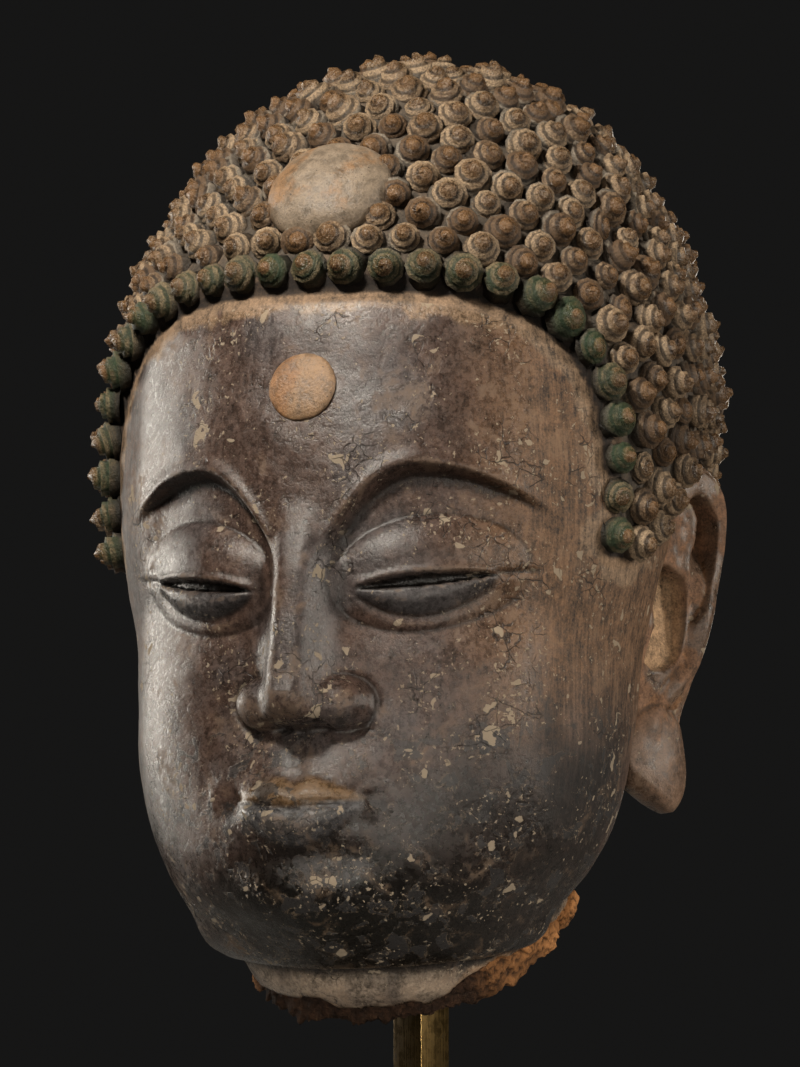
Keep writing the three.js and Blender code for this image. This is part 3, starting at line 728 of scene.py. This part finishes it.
def makeSnail():  # base at z = 0, sizes in mm
    bpy.ops.mesh.primitive_plane_add(size=2)
    piece = named("snail")
    editWhole(piece)
    bpy.ops.mesh.merge(type="CENTER")
    bpy.ops.transform.translate(value=(1, 0, 0))
    for _ in range(2):  # groove to crest, and crest to the next groove
        bpy.ops.mesh.extrude_region_move(TRANSFORM_OT_translate={"value": (0, 0, 1 / 2)})
    bpy.ops.object.mode_set(mode="OBJECT")
    steps = round(curl["steps"] * curl["turns"])
    applyModifier(piece, "SCREW", angle=2 * pi * curl["turns"], screw_offset=curl["turns"], steps=steps,
                  render_steps=steps, use_merge_vertices=False)
    helix = pointsOf(piece)
    around = np.arctan2(helix[:, 1], helix[:, 0])
    rise = helix[:, 2]
    share = np.clip((rise - 1) / (curl["turns"] - 1), 0, 1)  # the first turn rises from the scalp
    return piece, around, rise, share


def shapeSnail():
    piece, around, rise, share = makeSnail()
    start = ((around / (2 * pi)) % 1).round(4)
    crest = np.round((rise - start) * 2) % 2 == 1  # every other line runs along the round of the coil
    radius = np.interp(share, curlSide["share"], curlSide["radius"])
    fade = (1 - share) ** 0.35
    radius += np.where(crest, curl["swell"], -curl["groove"]) * fade
    lift = np.interp(share, curlSide["share"], curlSide["height"])
    lift += np.where(crest, curl["rise"], -curl["dip"]) * fade * (share > 0)
    radius = np.where(share >= 1, 0, radius)
    lift -= curl["sink"] * (share <= 0)
    movePoints(piece, np.column_stack([radius * np.cos(around), radius * np.sin(around), lift]))
    keepValues(piece, groove=~crest * (share < 1), lift=share)
    outwardNormals(piece)
    return piece


def copyCurls(snail, name, centres, first, fullness):
    bpy.ops.mesh.primitive_plane_add(size=1)
    piece = named(name)
    shape = pointsOf(snail)
    faces = [tuple(face.vertices) for face in snail.data.polygons]
    count = len(centres)
    chance = np.random.default_rng(first + 5)
    number = np.arange(count) + first
    size = 1 + 0.09 * np.sin(number * 12.9898) + 0.05 * np.sin(number * 4.1414)  # as on the solid's curls
    lean = np.tan(np.radians(curl["tilt"])) * chance.normal(0, 0.5, (count, 3))
    up = hairNormals(centres)
    up[:, 2] -= curl["droop"] * np.maximum(up[:, 2], 0) * (1 - up[:, 2] ** 2)  # the front rows look ahead
    up = unit(unit(up) + lean)
    side = unit(np.cross(up, np.array((0.31, 0.87, 0.22))))
    ahead = np.cross(up, side)
    spin = chance.uniform(0, 2 * pi, count)[:, None]
    across = np.cos(spin) * side + np.sin(spin) * ahead
    along = np.cross(up, across)
    x, y, z = (shape[None, :, axis, None] for axis in range(3))
    tall = size * chance.uniform(0.84, 1.08, count)
    worn = chance.uniform(0, 1, count) < curl["wornShare"]
    tall = np.where(worn, curl["wornTall"] * tall, tall)[:, None, None]
    wide = (fullness * size * chance.uniform(0.92, 1.04, count))[:, None, None]
    points = centres[:, None] + wide * (x * across[:, None] + y * along[:, None]) + tall * z * up[:, None]
    points = points.reshape(-1, 3)
    piece.data.clear_geometry()
    piece.data.from_pydata(toPart(points).tolist(), [],
                           [tuple(corner + len(shape) * copy for corner in face)
                            for copy in range(count) for face in faces])
    piece.data.update()
    keepValues(piece, groove=np.tile(valuesOf(snail, "groove"), count),
               lift=np.tile(valuesOf(snail, "lift"), count),
               tone=np.repeat(chance.uniform(0, 1, count), len(shape)))
    return piece


curlLook = dict(clay=(0.365, 0.260, 0.164), umber=(0.092, 0.056, 0.031), tip=(0.130, 0.070, 0.031),
                dark=(0.010, 0.006, 0.004), dust=(0.225, 0.191, 0.150), oliveClay=(0.225, 0.167, 0.096),
                green=(0.012, 0.028, 0.012), paleGreen=(0.082, 0.080, 0.040))


def curlFinish(name, green):
    clay = Finish(name)
    lift = clay.attribute("lift")
    tone = clay.attribute("tone")
    cloud = clay.grain(16)
    mottle = clay.grain(170, 6, 0.68)
    speck = clay.grain(620, 3)
    grit = clay.grain(900, 4, 0.7)
    ground = curlLook["oliveClay"] if green else curlLook["clay"]
    clay.colour = clay.blend((tone * 0.45 + mottle * 0.55).between(0.40, 0.60), ground, curlLook["umber"])
    bright = lift.between(0.50, 0.85) * speck.between(0.36, 0.60, 0.6, 1.0)
    clay.cover(bright, curlLook["tip"])
    if green:
        stain = mottle * 0.6 + cloud * 0.4 + lift.between(0.95, 0.5, -0.14, 0.05)
        stain = stain + tone.between(0.0, 1.0, -0.05, 0.05)
        clay.cover(stain.between(0.41, 0.56, 0.0, 0.65), curlLook["paleGreen"])
        clay.cover(stain.between(0.50, 0.64, 0.0, 0.80), curlLook["green"])
    height = clay.node("SeparateXYZ", "Z", {"Vector": clay.place})
    dusty = lift.between(0.55, 0.0, -0.30, 0.18) + mottle * 0.7 + cloud.between(0.35, 0.65, -0.14, 0.16)
    dusty = dusty + height.between(0.48, 0.68, -0.10, 0.10)  # more dust on the crown
    clay.cover(dusty.between(0.38, 0.56, 0.0, 0.35 if green else 0.9), curlLook["dust"])
    # painted shade in the grooves of the clay curls; on the green row the grooves keep green paint
    deep = clay.attribute("groove").between(0.38, 0.80) * mottle.between(0.3, 0.62, 1.0, 0.65)
    deep = deep * lift.between(0.95, 0.75) * 0.94
    clay.cover(deep, curlLook["green"] if green else curlLook["dark"])
    clay.cover(lift.between(0.24, 0.0, 0.0, 0.9), curlLook["dark"])  # painted shade at the foot of each curl, between the curls
    light = grit.swing(0.55, 1.45) + tone.between(0.0, 1.0, -0.26, 0.26)
    clay.give("Base Color", clay.lit(clay.colour, light))
    clay.give("Roughness", lift.between(0.35, 0.75, 0.62, 0.26) + grit.swing(-0.12, 0.14))
    clay.bump(mottle * 0.6 + speck * 0.4, 2.8 * mm, 0.9)
    clay.give("Specular IOR Level", 0.38)
    return clay.material


snail = shapeSnail()
lowestRow = alongRing(edgeLine, 0.5, pitch=curl["edgePitch"])
scalpRow = nestedCurls(lowestRow)
print("curls", len(lowestRow), "in the lowest row and", len(scalpRow), "above")
ahead = np.abs(angleOf(lowestRow)) < curl["greenAngle"]
others = np.vstack([lowestRow[~ahead], scalpRow])
finished(copyCurls(snail, "frontCurls", lowestRow[ahead], 0, 1.03), curlFinish("greenedCurls", True))
finished(copyCurls(snail, "scalpCurls", others, len(lowestRow), 0.97), curlFinish("clayCurls", False))
selectOnly(snail)
bpy.ops.object.delete()


# bead in the hair and mark on the forehead: flattened domes of bare clay

bead = dict(radius=38, out=22, sink=9)
mark = dict(radius=20.5, out=4.8, sink=3)
markPlace = dict(z=329, way=(0.0, -1.0, 0.22))
unevenness = 0.02
buffLook = dict(grey=(0.130, 0.105, 0.082), pit=(0.040, 0.027, 0.019),
                beadGround=(0.205, 0.157, 0.112), beadStain=(0.225, 0.126, 0.060),
                markGround=(0.258, 0.157, 0.086), markStain=(0.240, 0.122, 0.056))


def makeDome(name, seat, way, radius, out, sink):
    bpy.ops.mesh.primitive_uv_sphere_add(segments=72, ring_count=44, radius=1)
    piece = named(name)
    ball = pointsOf(piece)
    side = unit(np.cross(way, np.array((0.0, 0.0, 1.0))))
    ahead = np.cross(side, way)
    depth = np.where(ball[:, 2] > 0, out, sink)
    local = radius * (ball[:, :1] * side + ball[:, 1:2] * ahead) + (ball[:, 2] * depth)[:, None] * way
    waves = roughness(local, 13, 4, 4.0)
    movePoints(piece, toPart(seat + local * (1 + unevenness * waves)[:, None]))
    outwardNormals(piece)
    keepValues(piece, stained=smooth(0.4, -0.8, fromPart(pointsOf(piece))[:, 0] / radius))
    return piece


def buffFinish(name, ground, stain, greyShare):
    clay = Finish(name)
    cloud = clay.grain(34, 5)
    mottle = clay.grain(150, 6, 0.68)
    speck = clay.grain(620, 3, 0.65)
    share = cloud + clay.attribute("stained").between(0.0, 1.0, -0.06, 0.08)
    clay.colour = clay.blend(share.between(0.50, 0.64, 0.0, 0.9), ground, stain)
    clay.cover(mottle.between(0.50, 0.36, 0.0, greyShare), buffLook["grey"])
    clay.colour = clay.lit(clay.colour, mottle.swing(0.72, 1.25) + speck.swing(-0.2, 0.2))
    clay.cover(speck.between(0.62, 0.66, 0.0, 0.85), buffLook["pit"])
    clay.give("Base Color", clay.colour)
    clay.give("Roughness", mottle.swing(0.34, 0.58))
    clay.bump(mottle * 0.7 + speck * 0.35, 1.6 * mm, 0.9)
    return clay.material


beadUp = hairNormals(beadSeat[None])[0]
beadClay = buffFinish("greyBuffClay", buffLook["beadGround"], buffLook["beadStain"], 0.2)
finished(makeDome("hairBead", beadSeat, beadUp, **bead), beadClay)
markSeat = leaves(skinDistance, np.array((0.0, 0.0, markPlace["z"])), np.array(((0.0, -1.0, 0.0),)))[0]
markClay = buffFinish("orangeBuffClay", buffLook["markGround"], buffLook["markStain"], 0.25)
finished(makeDome("foreheadMark", markSeat, unit(np.array(markPlace["way"])), **mark), markClay)


# ears: one long leaf each, with a rolled rim, a deep channel, a hollow and a heavy lobe

earForm = dict(
    root=(158, 1),  # where the leaf starts beside the cheek
    way=(0.502, 0.865),  # it runs out and back from there
    squeeze=0.9,
    middle=(14, 200),  # the rings of the mesh run round this point of the leaf
    outline=[(20, 286), (37.5, 293.5), (49.5, 296.6), (63, 287.5), (69.4, 274), (68.6, 253), (65.4, 238),
             (59, 216), (52.7, 197.5), (47.4, 179), (42.4, 160), (38.2, 148), (36.1, 135.6), (38.6, 117),
             (40.2, 101.6), (37, 91), (29, 85.5), (17, 89), (3.5, 95.5), (-8.5, 103.5), (-15.6, 114),
             (-15.6, 129.5), (-12, 137), (-18, 160), (-20, 200), (-16, 240), (0, 272)],
    ridge=[(-8.5, 141), (-1.7, 148), (12, 160), (24, 174.6), (28, 187), (30.3, 204), (33.5, 222), (35.1, 243),
           (39.5, 253), (41, 264), (37, 272), (24, 279)],  # outer edge of the panel, from the lobe up
    hollowFront=[(2, 172), (-5.4, 176), (-5, 182), (-1.6, 191), (2.4, 197.5), (1.2, 207), (-0.8, 219),
                 (2.4, 228.5), (10, 234)],
    hollowBack=[(14, 172), (22.5, 176), (26, 182), (27.5, 191), (28.7, 197.5), (29.5, 207), (29.5, 219),
                (26.3, 228.5), (16, 234)],
    hollowFrom=171, hollowTo=235, hollowDeep=11, rimWide=17, rimRoll=3.5, channelDeep=15, panelRoll=1.8,
    strap=5, lobe=9, lobeCrease=3, lobeBack=12, edgeRound=5.5, edgeBack=4.5, foreRows=0.70,
    columns=220, rows=104,
)


def throughPoints(points, count):  # even steps along a closed soft line
    ring = np.array(points, dtype=float)
    steps = np.linspace(0, 1, 12, endpoint=False)[:, None]
    a, b, c, d = ring, np.roll(ring, -1, 0), np.roll(ring, -2, 0), np.roll(ring, -3, 0)
    fine = np.concatenate([0.5 * (2 * q + (r - p) * steps + (2 * p - 5 * q + 4 * r - s) * steps ** 2
                                  + (3 * q - p - 3 * r + s) * steps ** 3) for p, q, r, s in zip(a, b, c, d)])
    return alongRing(fine, 0, count=count)


def besideLine(s, z, line):  # how far a point is outside a line drawn from bottom to top
    across, height = np.array(line, dtype=float).T
    return s - np.interp(z, height, across)


def inHollow(s, z):  # mm inside the edge of the hollow
    front = besideLine(s, z, earForm["hollowFront"])
    back = -besideLine(s, z, earForm["hollowBack"])
    return np.minimum(np.minimum(front, back), np.minimum(z - earForm["hollowFrom"], earForm["hollowTo"] - z))


def earRelief(s, z, reach):  # rise of the leaf's front from the panel; reach is the depth inside the outline
    beyond = besideLine(s, z, earForm["ridge"])
    wide = earForm["rimWide"]
    rim = smooth(wide + 2, wide - 3, reach) * smooth(168, 205, z)
    channel = smooth(0, 5, beyond) * smooth(wide - 2, wide + 3, reach) * smooth(284, 276, z)
    out = -earForm["channelDeep"] * smooth(220, 256, z) * channel
    out += earForm["rimRoll"] * rim * dome(((reach - 0.5 * wide) / (0.62 * wide)) ** 2, 0.6)
    out += earForm["panelRoll"] * bell((beyond + 3) / 3.5) * smooth(150, 180, z) * smooth(282, 268, z)
    floor = mix(0.4, 1.0, smooth(172, 226, z + 0.5 * s))
    out -= earForm["hollowDeep"] * floor * smooth(-0.8, 3.2, inHollow(s, z))
    out += earForm["strap"] * bell((beyond - 13) / 9) * smooth(245, 205, z) * smooth(128, 150, z)
    out += earForm["lobe"] * dome(((s - 12) / 32) ** 2 + ((z - 112) / 38) ** 2, 0.7)
    return out - earForm["lobeCrease"] * bell((z - 143 - 0.35 * s) / 6) * smooth(30, 5, s)


def makeEar():
    piece, column, row = newBall("leftEar", earForm["columns"], earForm["rows"])
    middle = np.array(earForm["middle"], dtype=float)
    rim = throughPoints(earForm["outline"], earForm["columns"])[column] - middle
    most = earForm["foreRows"]  # share of the rows on the front of the leaf
    fore = row <= most
    share = np.where(fore, (row / most) ** 0.85, ((1 - row) / (1 - most)) ** 0.5)
    s, z = (middle + rim * share[:, None]).T
    reach = (1 - share) * length(rim) * 0.82
    turnIn = np.sqrt(np.clip(1 - (1 - np.clip(reach / earForm["edgeRound"], 0, 1)) ** 2, 0, 1))
    back = -mix(20, 16, smooth(150, 110, z))  # the lobe is thinner
    edge = -earForm["edgeBack"]
    rise = np.where(fore, mix(edge, earRelief(s, z, reach), turnIn), mix(edge, back, turnIn))
    rise = rise + 0.5 * roughness(np.column_stack([s, z, rise]), 17, 3, 5.0)
    rise -= earForm["lobeBack"] * smooth(200, 120, z)
    way = np.array(earForm["way"])
    facing = np.array((way[1], -way[0]))
    flat = np.array(earForm["root"]) + earForm["squeeze"] * s[:, None] * way + rise[:, None] * facing
    movePoints(piece, toPart(np.column_stack([flat, z])))
    keepValues(piece, hollow=smooth(-0.5, 2, inHollow(s, z)) * fore)
    outwardNormals(piece)
    return piece


def mirrored(piece, name):
    selectOnly(piece)
    bpy.ops.object.duplicate()
    other = named(name)
    movePoints(other, pointsOf(other) * np.array((-1, 1, 1)))
    outwardNormals(other)
    return other


earPaint = dict(red=(0.195, 0.106, 0.062), lacquer=(0.135, 0.085, 0.057), orange=(0.235, 0.116, 0.054),
                tan=(0.420, 0.270, 0.155))


def earColours(piece):
    p = fromPart(pointsOf(piece))
    bend = curvature(piece)
    wander = roughness(p, 26, 4, 6.0)
    dark = np.maximum(smooth(-0.05, 0.30, wander), 0.8 * smooth(150, 128, p[:, 2] + 14 * wander))
    hollow = valuesOf(piece, "hollow")
    # tan in the lower part of the hollow: light tan clay and a painted pool of light
    shares = dict(lacquer=dark, orange=0.7 * smooth(0.005, 0.05, -bend),
                  tan=0.85 * hollow * smooth(240, 222, p[:, 2]))
    colour = np.array(earPaint["red"])
    for name, share in shares.items():
        colour = mix(colour, np.array(earPaint[name]), share[:, None])
    keepColours(piece, "paint", colour)
    none = np.zeros(len(p))
    # sunk: hollows that the finish darkens as painted shade, less on the hollow's light floor
    keepValues(piece, worn=smooth(0.015, 0.07, bend), sunk=smooth(0.03, 0.10, -bend) * (1 - 0.7 * hollow),
               shine=(0.75 * dark + 0.15) * (1 - hollow), streaky=none, scaly=none)


leftEar = makeEar()
rightEar = mirrored(leftEar, "rightEar")
earLacquer = lacquerFinish("wornEarLacquer", 0.64, 0.27)
for ear in (leftEar, rightEar):
    earColours(ear)
    finished(ear, earLacquer)


# torn core under the neck, and the broken stub beside it

core = dict(bottom=0.62, wall=46, across=95, hang=3, bulge=6, lumps=4, fibres=3.0, cells=190)
stub = dict(at=(82, 33, 26), radii=(16, 14, 14), lumps=0.24, lean=0.35)
tornLook = dict(dark=(0.010, 0.005, 0.003), brown=(0.046, 0.023, 0.013), rust=(0.520, 0.238, 0.090),
                straw=(0.130, 0.082, 0.046), pit=(0.018, 0.011, 0.008))


def makeCore():  # a bowl: the torn underside, turned up inside the painted wall
    bpy.ops.mesh.primitive_grid_add(x_subdivisions=core["cells"], y_subdivisions=core["cells"], size=2)
    piece = named("tornCore")
    flat = pointsOf(piece)[:, :2]
    longest = np.max(np.abs(flat), axis=1)
    disc = flat * (longest / np.maximum(length(flat), 1e-9))[:, None]  # from square to disc
    ring = length(disc)
    ways = disc / np.maximum(ring, 1e-9)[:, None]
    under = np.clip(ring / core["bottom"], 0, 1)
    up = np.clip((ring - core["bottom"]) / (1 - core["bottom"]), 0, 1)
    place = np.column_stack([ways * (under * core["across"])[:, None], core["wall"] * up])
    lumps = roughness(place, 24, 5, 8.0)
    fibres = roughness(place * np.array((1.0, 0.5, 1.0)), 5.0, 4, 9.0)
    uneven = core["lumps"] * lumps + core["fibres"] * fibres
    drop = core["hang"] + core["bulge"] * dome(under ** 2, 0.5)
    drop += uneven * smooth(1.0, 0.5, up) - core["wall"] * up
    wide = core["across"] * under + (0.8 * uneven - 1.5) * smooth(0.8, 1.0, under)
    lean = radians(neck["lean"])
    across = ways * wide[:, None]
    x = across[:, 0] + neck["at"][0]
    y = across[:, 1] * cos(lean) + drop * sin(lean) + neck["at"][1]
    z = across[:, 1] * sin(lean) - drop * cos(lean) + neck["at"][2]
    movePoints(piece, toPart(np.column_stack([x, y, z])))
    editWhole(piece)
    bpy.ops.mesh.flip_normals()
    bpy.ops.object.mode_set(mode="OBJECT")
    ends = np.maximum(smooth(62, 96, x), smooth(-66, -88, x))  # bare clay at the break's ends
    keepValues(piece, sunk=smooth(0.0, 0.14, -curvature(piece, 1)),
               rust=np.clip(ends * (0.7 + 0.6 * lumps), 0, 1))
    return piece


def makeStub():
    bpy.ops.mesh.primitive_ico_sphere_add(subdivisions=5, radius=1)
    piece = named("neckStub")
    p = pointsOf(piece)
    p = np.sign(p) * np.abs(p) ** 0.85 * np.array(stub["radii"])
    lumps = roughness(p, 13, 5, 10.0)
    p *= (1 + stub["lumps"] * lumps)[:, None]
    p[:, 2] += stub["lean"] * p[:, 0]  # the broken end points up and out
    movePoints(piece, toPart(p + np.array(stub["at"])))
    keepValues(piece, sunk=smooth(0.0, 0.15, -curvature(piece, 1)), rust=np.clip(0.7 + 0.5 * lumps, 0, 1))
    return piece


def tornFinish():
    clay = Finish("tornClay")
    mottle = clay.grain(120, 6, 0.7)
    straw = clay.grain(1, 4, 0.65, stretch=(500, 120, 260))
    clay.colour = clay.blend(mottle.swing(), tornLook["dark"], tornLook["brown"])
    clay.cover(clay.attribute("rust") * mottle.between(0.30, 0.52), tornLook["rust"])
    clay.cover(straw.between(0.60, 0.70, 0.0, 0.5), tornLook["straw"])
    # painted shade in the hollows of the torn clay
    clay.cover(clay.attribute("sunk") * 0.8, tornLook["pit"])
    clay.give("Base Color", clay.colour)
    clay.give("Roughness", mottle.swing(0.8, 0.95))
    clay.bump(mottle + straw * 0.6, 4 * mm, 0.9)
    clay.give("Specular IOR Level", 0.15)
    return clay.material


tornClay = tornFinish()
finished(makeCore(), tornClay)
finished(makeStub(), tornClay)


# mount: square bar in a flat foot, dark brass with rubbed edges

mount = dict(barSide=25, barEdge=1.5, footSide=240, footThick=20, footEdge=3, turn=-24.5, back=22)
brassLook = dict(dark=(0.062, 0.040, 0.013), brown=(0.105, 0.067, 0.022), tarnish=(0.026, 0.019, 0.011),
                 rubbedEdge=(0.420, 0.290, 0.120))


def makeBlock(name, side, low, high, edge, segments):
    bpy.ops.mesh.primitive_cube_add(size=1)
    piece = named(name)
    piece.scale = np.array((side, side, high - low)) * mm
    piece.rotation_euler = (0, 0, radians(mount["turn"]))
    piece.location = np.array((0, mount["back"], (low + high) / 2)) * mm
    bpy.ops.object.transform_apply(location=True, rotation=True, scale=True)
    applyModifier(piece, "BEVEL", width=edge * mm, segments=segments, limit_method="ANGLE")
    return piece


def brassFinish():
    brass = Finish("agedBrass")
    cloud = brass.grain(30, 5)
    mottle = brass.grain(160, 6, 0.65)
    drawn = brass.grain(1, 3, 0.6, stretch=(900, 900, 25))
    bevelled = brass.node("Bevel", "Normal", {"Radius": 2.2 * mm}, samples=6)
    flat = brass.node("NewGeometry", "Normal")
    turned = brass.node("VectorMath", "Value", {0: bevelled, 1: flat}, operation="DOT_PRODUCT")
    brass.colour = brass.blend(cloud.swing(), brassLook["dark"], brassLook["brown"])
    brass.cover(mottle.between(0.55, 0.75, 0.0, 0.8), brassLook["tarnish"])
    brass.cover(turned.between(0.995, 0.93, 0.0, 0.8), brassLook["rubbedEdge"])
    brass.give("Base Color", brass.colour)
    brass.give("Metallic", 0.9)
    brass.give("Roughness", mottle.swing(0.22, 0.34) + drawn.swing(-0.05, 0.05))
    brass.bump(mottle * 0.4 + drawn * 0.4, 0.3 * mm, 0.6)
    return brass.material


agedBrass = brassFinish()
barLow, barHigh = (corner[2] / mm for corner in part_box("mount_bar"))
bar = makeBlock("mountBar", mount["barSide"], barLow, barHigh, mount["barEdge"], 3)
finished(bar, agedBrass, "mount_bar")
foot = makeBlock("mountFoot", mount["footSide"], 0, mount["footThick"], mount["footEdge"], 4)
finished(foot, agedBrass, "mount_foot")


# floor, lights and camera

studio = dict(floor=1.7, floorDark=(0.48, 0.475, 0.46), floorPale=(0.52, 0.51, 0.495), world=0.008,
              worldColour=(1.0, 0.99, 0.97, 1.0), lampColour=(1.0, 0.93, 0.82))
view = dict(azimuth=20.5, height=-5.0, distance=2.3, lens=125.8, aim=(-0.0050, -0.0020, 0.4387))
lamps = [  # name, place, height of its aim, size, power, spread in degrees
    ("topLight", (-0.26, -1.46, 1.70), 0.54, (0.30, 0.30), 2.0, 32),
    ("rightLight", (1.92, 0.22, 0.80), 0.45, (0.35, 1.2), 1.75, 42),
    ("leftStrip", (-1.78, 0.46, 0.65), 0.48, (0.30, 1.0), 1.15, 36),
    ("sideFill", (1.25, -1.15, 0.30), 0.26, (0.45, 0.45), 0.30, 34),
    ("lowFill", (0.31, -1.78, 0.14), 0.16, (0.30, 0.30), 0.20, 16),
    ("backGlow", (-0.4, 2.2, 0.75), 0.45, (1.0, 1.0), 1.9, 60),
]


def floorFinish():
    paint = Finish("paleFloor")
    paint.colour = paint.blend(paint.grain(6).swing(), studio["floorDark"], studio["floorPale"])
    paint.give("Base Color", paint.colour)
    paint.give("Roughness", 0.8)
    return paint.material


bpy.ops.mesh.primitive_circle_add(vertices=96, radius=studio["floor"], fill_type="NGON")
floor = named("studioFloor")
floor.data.materials.append(floorFinish())

world = bpy.data.worlds.new("studioWorld")
world.use_nodes = True
sky = world.node_tree.nodes["Background"]
sky.inputs["Color"].default_value = studio["worldColour"]
sky.inputs["Strength"].default_value = studio["world"]
bpy.context.scene.world = world
bpy.context.scene.view_settings.view_transform = "Standard"

for name, place, aimHeight, size, power, spreadAngle in lamps:
    bpy.ops.object.light_add(type="AREA", location=place)
    lamp = bpy.context.active_object
    lamp.name = name
    lamp.data.shape = "RECTANGLE"
    lamp.data.size, lamp.data.size_y = size
    lamp.data.energy = power
    lamp.data.spread = radians(spreadAngle)
    lamp.data.color = studio["lampColour"]
    lamp.rotation_euler = (Vector((0, 0, aimHeight)) - Vector(place)).to_track_quat("-Z", "Y").to_euler()

turn, height = radians(view["azimuth"]), radians(view["height"])
away = Vector((sin(turn) * cos(height), -cos(turn) * cos(height), sin(height))) * view["distance"]
bpy.ops.object.camera_add(location=Vector(view["aim"]) + away)
camera = bpy.context.active_object
camera.rotation_euler = (-away).to_track_quat("-Z", "Y").to_euler()
camera.data.lens = view["lens"]
camera.data.sensor_width = 36
bpy.context.scene.camera = camera
print("studio ready")
